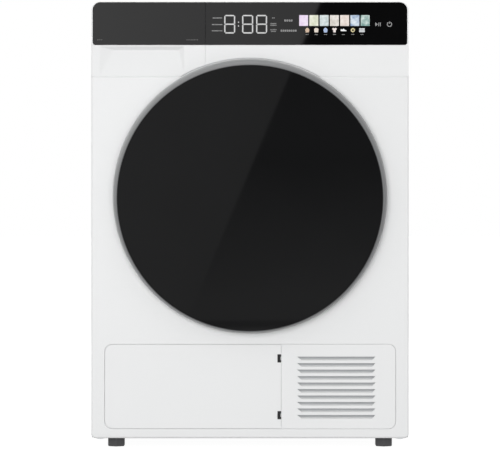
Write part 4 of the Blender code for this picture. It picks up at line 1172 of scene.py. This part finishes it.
display = {
    "proud": 0.00014, "stroke": 0.0024, "segmentGap": 0.0004,
    "digitLow": 0.7782, "digitHigh": 0.8131,
    "digits": ((-0.04845, -0.02779), (-0.01484, 0.00601), (0.01146, 0.03211)),
    "colonX": -0.0216, "colonPlaces": (0.7995, 0.7924), "colonRadius": 0.0011,
    "tileLeft": 0.0924, "tileWidth": 0.0167, "tilePitch": 0.01925, "tileLow": 0.7924, "tileHigh": 0.8128,
    "iconPlaces": (0.1076, 0.1245, 0.1418, 0.1587, 0.1756, 0.1932, 0.2103),
    "iconHeight": 0.7846, "iconSize": 0.0086,
}
# left, right, middle height, letter height, letters
leftRows = (
    (-0.0700, -0.0516, 0.8074, 0.0020, 7), (-0.0715, -0.0513, 0.7950, 0.0020, 8),
    (-0.0715, -0.0513, 0.7833, 0.0020, 8),
)
rightRows = ((0.0420, 0.0470, 0.8074, 0.0018, 2), (0.0385, 0.0500, 0.7968, 0.0018, 5),
             (0.0385, 0.0500, 0.7937, 0.0018, 5),
             (0.0380, 0.0505, 0.7853, 0.0018, 5), (0.0395, 0.0490, 0.7822, 0.0018, 4))
wordRows = ((0.0646, 0.0809, 0.8026, 0.0036, 4), (0.0575, 0.0885, 0.7836, 0.0036, 8))
stripRows = ((-0.2868, -0.2764, 0.7663, 0.0018, 3), (-0.1196, -0.0969, 0.7663, 0.0018, 8))
tileLooks = {
    "tileLilac": ((0.66, 0.50, 0.72), (0.82, 0.76, 0.84)),
    "tileSage": ((0.56, 0.60, 0.44), (0.80, 0.80, 0.70)),
    "tileTeal": ((0.34, 0.44, 0.44), (0.76, 0.80, 0.80)),
    "tileSand": ((0.50, 0.47, 0.42), (0.78, 0.74, 0.70)),
    "tileRose": ((0.62, 0.52, 0.46), (0.84, 0.78, 0.74)),
    "tileBlue": ((0.16, 0.26, 0.44), (0.74, 0.80, 0.84)),
    "tileGreen": ((0.06, 0.20, 0.18), (0.66, 0.76, 0.72)),
}
iconLooks = {"iconAmber": (0.62, 0.46, 0.34), "iconCream": (0.72, 0.64, 0.56), "iconBlue": (0.40, 0.50, 0.72),
             "iconRose": (0.78, 0.70, 0.68), "iconWhite": (0.78, 0.79, 0.80), "iconGold": (0.62, 0.54, 0.30),
             "iconGrey": (0.66, 0.68, 0.70)}
iconShapes = {
    "coat": [(-.34, -.5), (.34, -.5), (.46, .05), (.28, .38), (.10, .5),
             (-.10, .5), (-.28, .38), (-.46, .05)],
    "jumper": [(-.40, -.5), (.40, -.5), (.48, .25), (.24, .45), (-.24, .45), (-.48, .25)],
    "shirt": [(-.28, -.5), (.28, -.5), (.28, .10), (.42, .05), (.5, .35), (.2, .5), (.08, .38), (-.08, .38),
              (-.2, .5),
              (-.5, .35), (-.42, .05), (-.28, .10)],
    "shoe": [(-.62, -.22), (.60, -.22), (.66, -.05), (.20, .12), (.02, .36), (-.16, .16), (-.62, .20)],
}


def litSurface(name, first, second, scale=120, glow=0.08):
    material = surface(name, first, second, 0.5, 900, 0.00001, blotch=scale)
    shader = material.node_tree.nodes["Principled BSDF"]
    middle = [(a + b) / 2 for a, b in zip(first, second)]
    shader.inputs["Emission Color"].default_value = (*middle, 1)
    shader.inputs["Emission Strength"].default_value = glow
    return material


for name, (first, second) in tileLooks.items():
    finishes[name] = litSurface(name, first, second)
for name, colour in iconLooks.items():
    finishes[name] = litSurface(name, colour, [part * 0.86 for part in colour])
finishes["litDigits"] = litSurface("litDigits", (0.60, 0.60, 0.60), (0.54, 0.54, 0.54))
finishes["litWords"] = litSurface("litWords", (0.36, 0.36, 0.36), (0.30, 0.30, 0.30))
finishes["touchWhite"] = litSurface("touchWhite", (0.30, 0.30, 0.30), (0.25, 0.25, 0.25))
finishes["dimWords"] = litSurface("dimWords", (0.14, 0.14, 0.14), (0.11, 0.11, 0.11), glow=0.03)


def printed(points, front, round=0.0):
    return plateMesh([(points, round, 0)], front - display["proud"], front + 0.00005, 2)


def bar(x, z, length, turned):
    # one segment with pointed ends
    half = display["stroke"] / 2
    along = length / 2 - display["segmentGap"]
    points = [(-along, 0), (-along + half, -half), (along - half, -half),
              (along, 0), (along - half, half), (-along + half, half)]
    return [(x + b, z + a) for a, b in points] if turned else [(x + a, z + b) for a, b in points]


def wordRow(row, front, finish):
    left, right, middle, height, letters = row
    pitch = (right - left) / letters
    wide = pitch * 0.70
    letter = [roundedLoop(left, left + wide, middle - height / 2, middle + height / 2, (wide * 0.3,) * 4, 2)]
    letter.append(roundedLoop(left + wide * 0.35, left + wide * 0.65, middle - height * 0.2,
                              middle + height * 0.2, (0,) * 4, 2))
    mesh = plateMesh([(letter[0], 0, 0), (letter[1], 0, 0)], front - display["proud"], front + 0.00005)
    return repeated(mesh, finish, letters, (pitch, 0, 0))


def makeDisplay():
    d = display
    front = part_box("control_glass")[0].y
    half = d["stroke"] / 2
    middle = (d["digitLow"] + d["digitHigh"]) / 2
    meshes = []
    for left, right in d["digits"]:
        centre, wide = (left + right) / 2, right - left - d["stroke"]
        tall = (d["digitHigh"] - d["digitLow"]) / 2 - half
        for z in (d["digitLow"] + half, middle, d["digitHigh"] - half):
            meshes.append(printed(bar(centre, z, wide, False), front))
        for x in (left + half, right - half):
            for z in (middle - tall / 2, middle + tall / 2):
                meshes.append(printed(bar(x, z, tall, True), front))
    for z in d["colonPlaces"]:
        meshes.append(printed(arcPoints(d["colonX"], z, d["colonRadius"], 0, 345, 23), front))
    addPiece("clockDigits", joinedMesh(meshes), "litDigits", "control_glass")
    rows = [wordRow(row, front, "litWords") for row in leftRows + rightRows + wordRows]
    rows += [wordRow((x - 0.0028, x + 0.0028, 0.7765, 0.0013, 5), front, "litWords") for x in d["iconPlaces"]]
    addPiece("panelWords", joinedMesh(rows), "litWords", "control_glass")
    faint = [wordRow(row, front, "dimWords") for row in stripRows]
    addPiece("stripWords", joinedMesh(faint), "dimWords", "drawer_trim")

    for number, name in enumerate(tileLooks):
        left = d["tileLeft"] + number * d["tilePitch"]
        tile = roundedLoop(left, left + d["tileWidth"], d["tileLow"], d["tileHigh"], (0.0006,) * 4, 3)
        addPiece(name, printed(tile, front, 0.00008), name, "control_glass")
    kinds = ("coat", "jumper", "coat", "shirt", "shoe", "ring", "blanket")
    for kind, name, x in zip(kinds, iconLooks, d["iconPlaces"]):
        size, z = d["iconSize"], d["iconHeight"]
        if kind == "ring":
            mesh = plateMesh([(arcPoints(x, z, size * 0.46, 0, 345, 23), 0, 0),
                              (arcPoints(x, z, size * 0.20, 0, 345, 23), 0, 0)],
                             front - d["proud"], front + 0.00005)
        elif kind == "blanket":
            folds = [roundedLoop(x - size * 0.62, x + size * 0.62, z + size * low, z + size * (low + 0.24),
                                 (0.0009,) * 4, 4)
                     for low in (-0.44, -0.14, 0.16)]
            mesh = joinedMesh([printed(fold, front) for fold in folds])
        else:
            mesh = printed([(x + a * size, z + b * size) for a, b in iconShapes[kind]], front)
        addPiece(name, mesh, name, "control_glass")

    marks = [printed([(0.2353, 0.7918), (0.2403, 0.79545), (0.2353, 0.7991)], front)]
    for x in (0.2412, 0.2442):
        marks.append(printed(roundedLoop(x, x + 0.0013, 0.7920, 0.7989, (0.0003,) * 4, 2), front))
    outer = arcPoints(0.26195, 0.7955, 0.0047, 115, 425, 30)
    marks.append(printed(outer + arcPoints(0.26195, 0.7955, 0.0033, 425, 115, 30), front))
    marks.append(printed(roundedLoop(0.2613, 0.2626, 0.7965, 0.8010, (0.0003,) * 4, 2), front))
    addPiece("touchMarks", joinedMesh(marks), "touchWhite", "control_glass")
    lugs = []
    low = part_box("front_panel")[0]
    for side in (-1, 1):
        for y in (low.y + 0.002, 0.270):
            lens = [(side * (0.2735 + 0.0160 * i / 12), low.z - 0.0017 * math.sin(math.pi * i / 12))
                    for i in range(13)]
            lens += [(side * 0.2895, low.z + 0.0010), (side * 0.2735, low.z + 0.0010)]
            lugs.append(plateMesh([(lens, 0.0003, 0.0003)], y, y + 0.014, 2))
    addPiece("cornerLugs", joinedMesh(lugs), "palePlastic", "base_pan")


makeDisplay()
print("display, marks and lugs made")
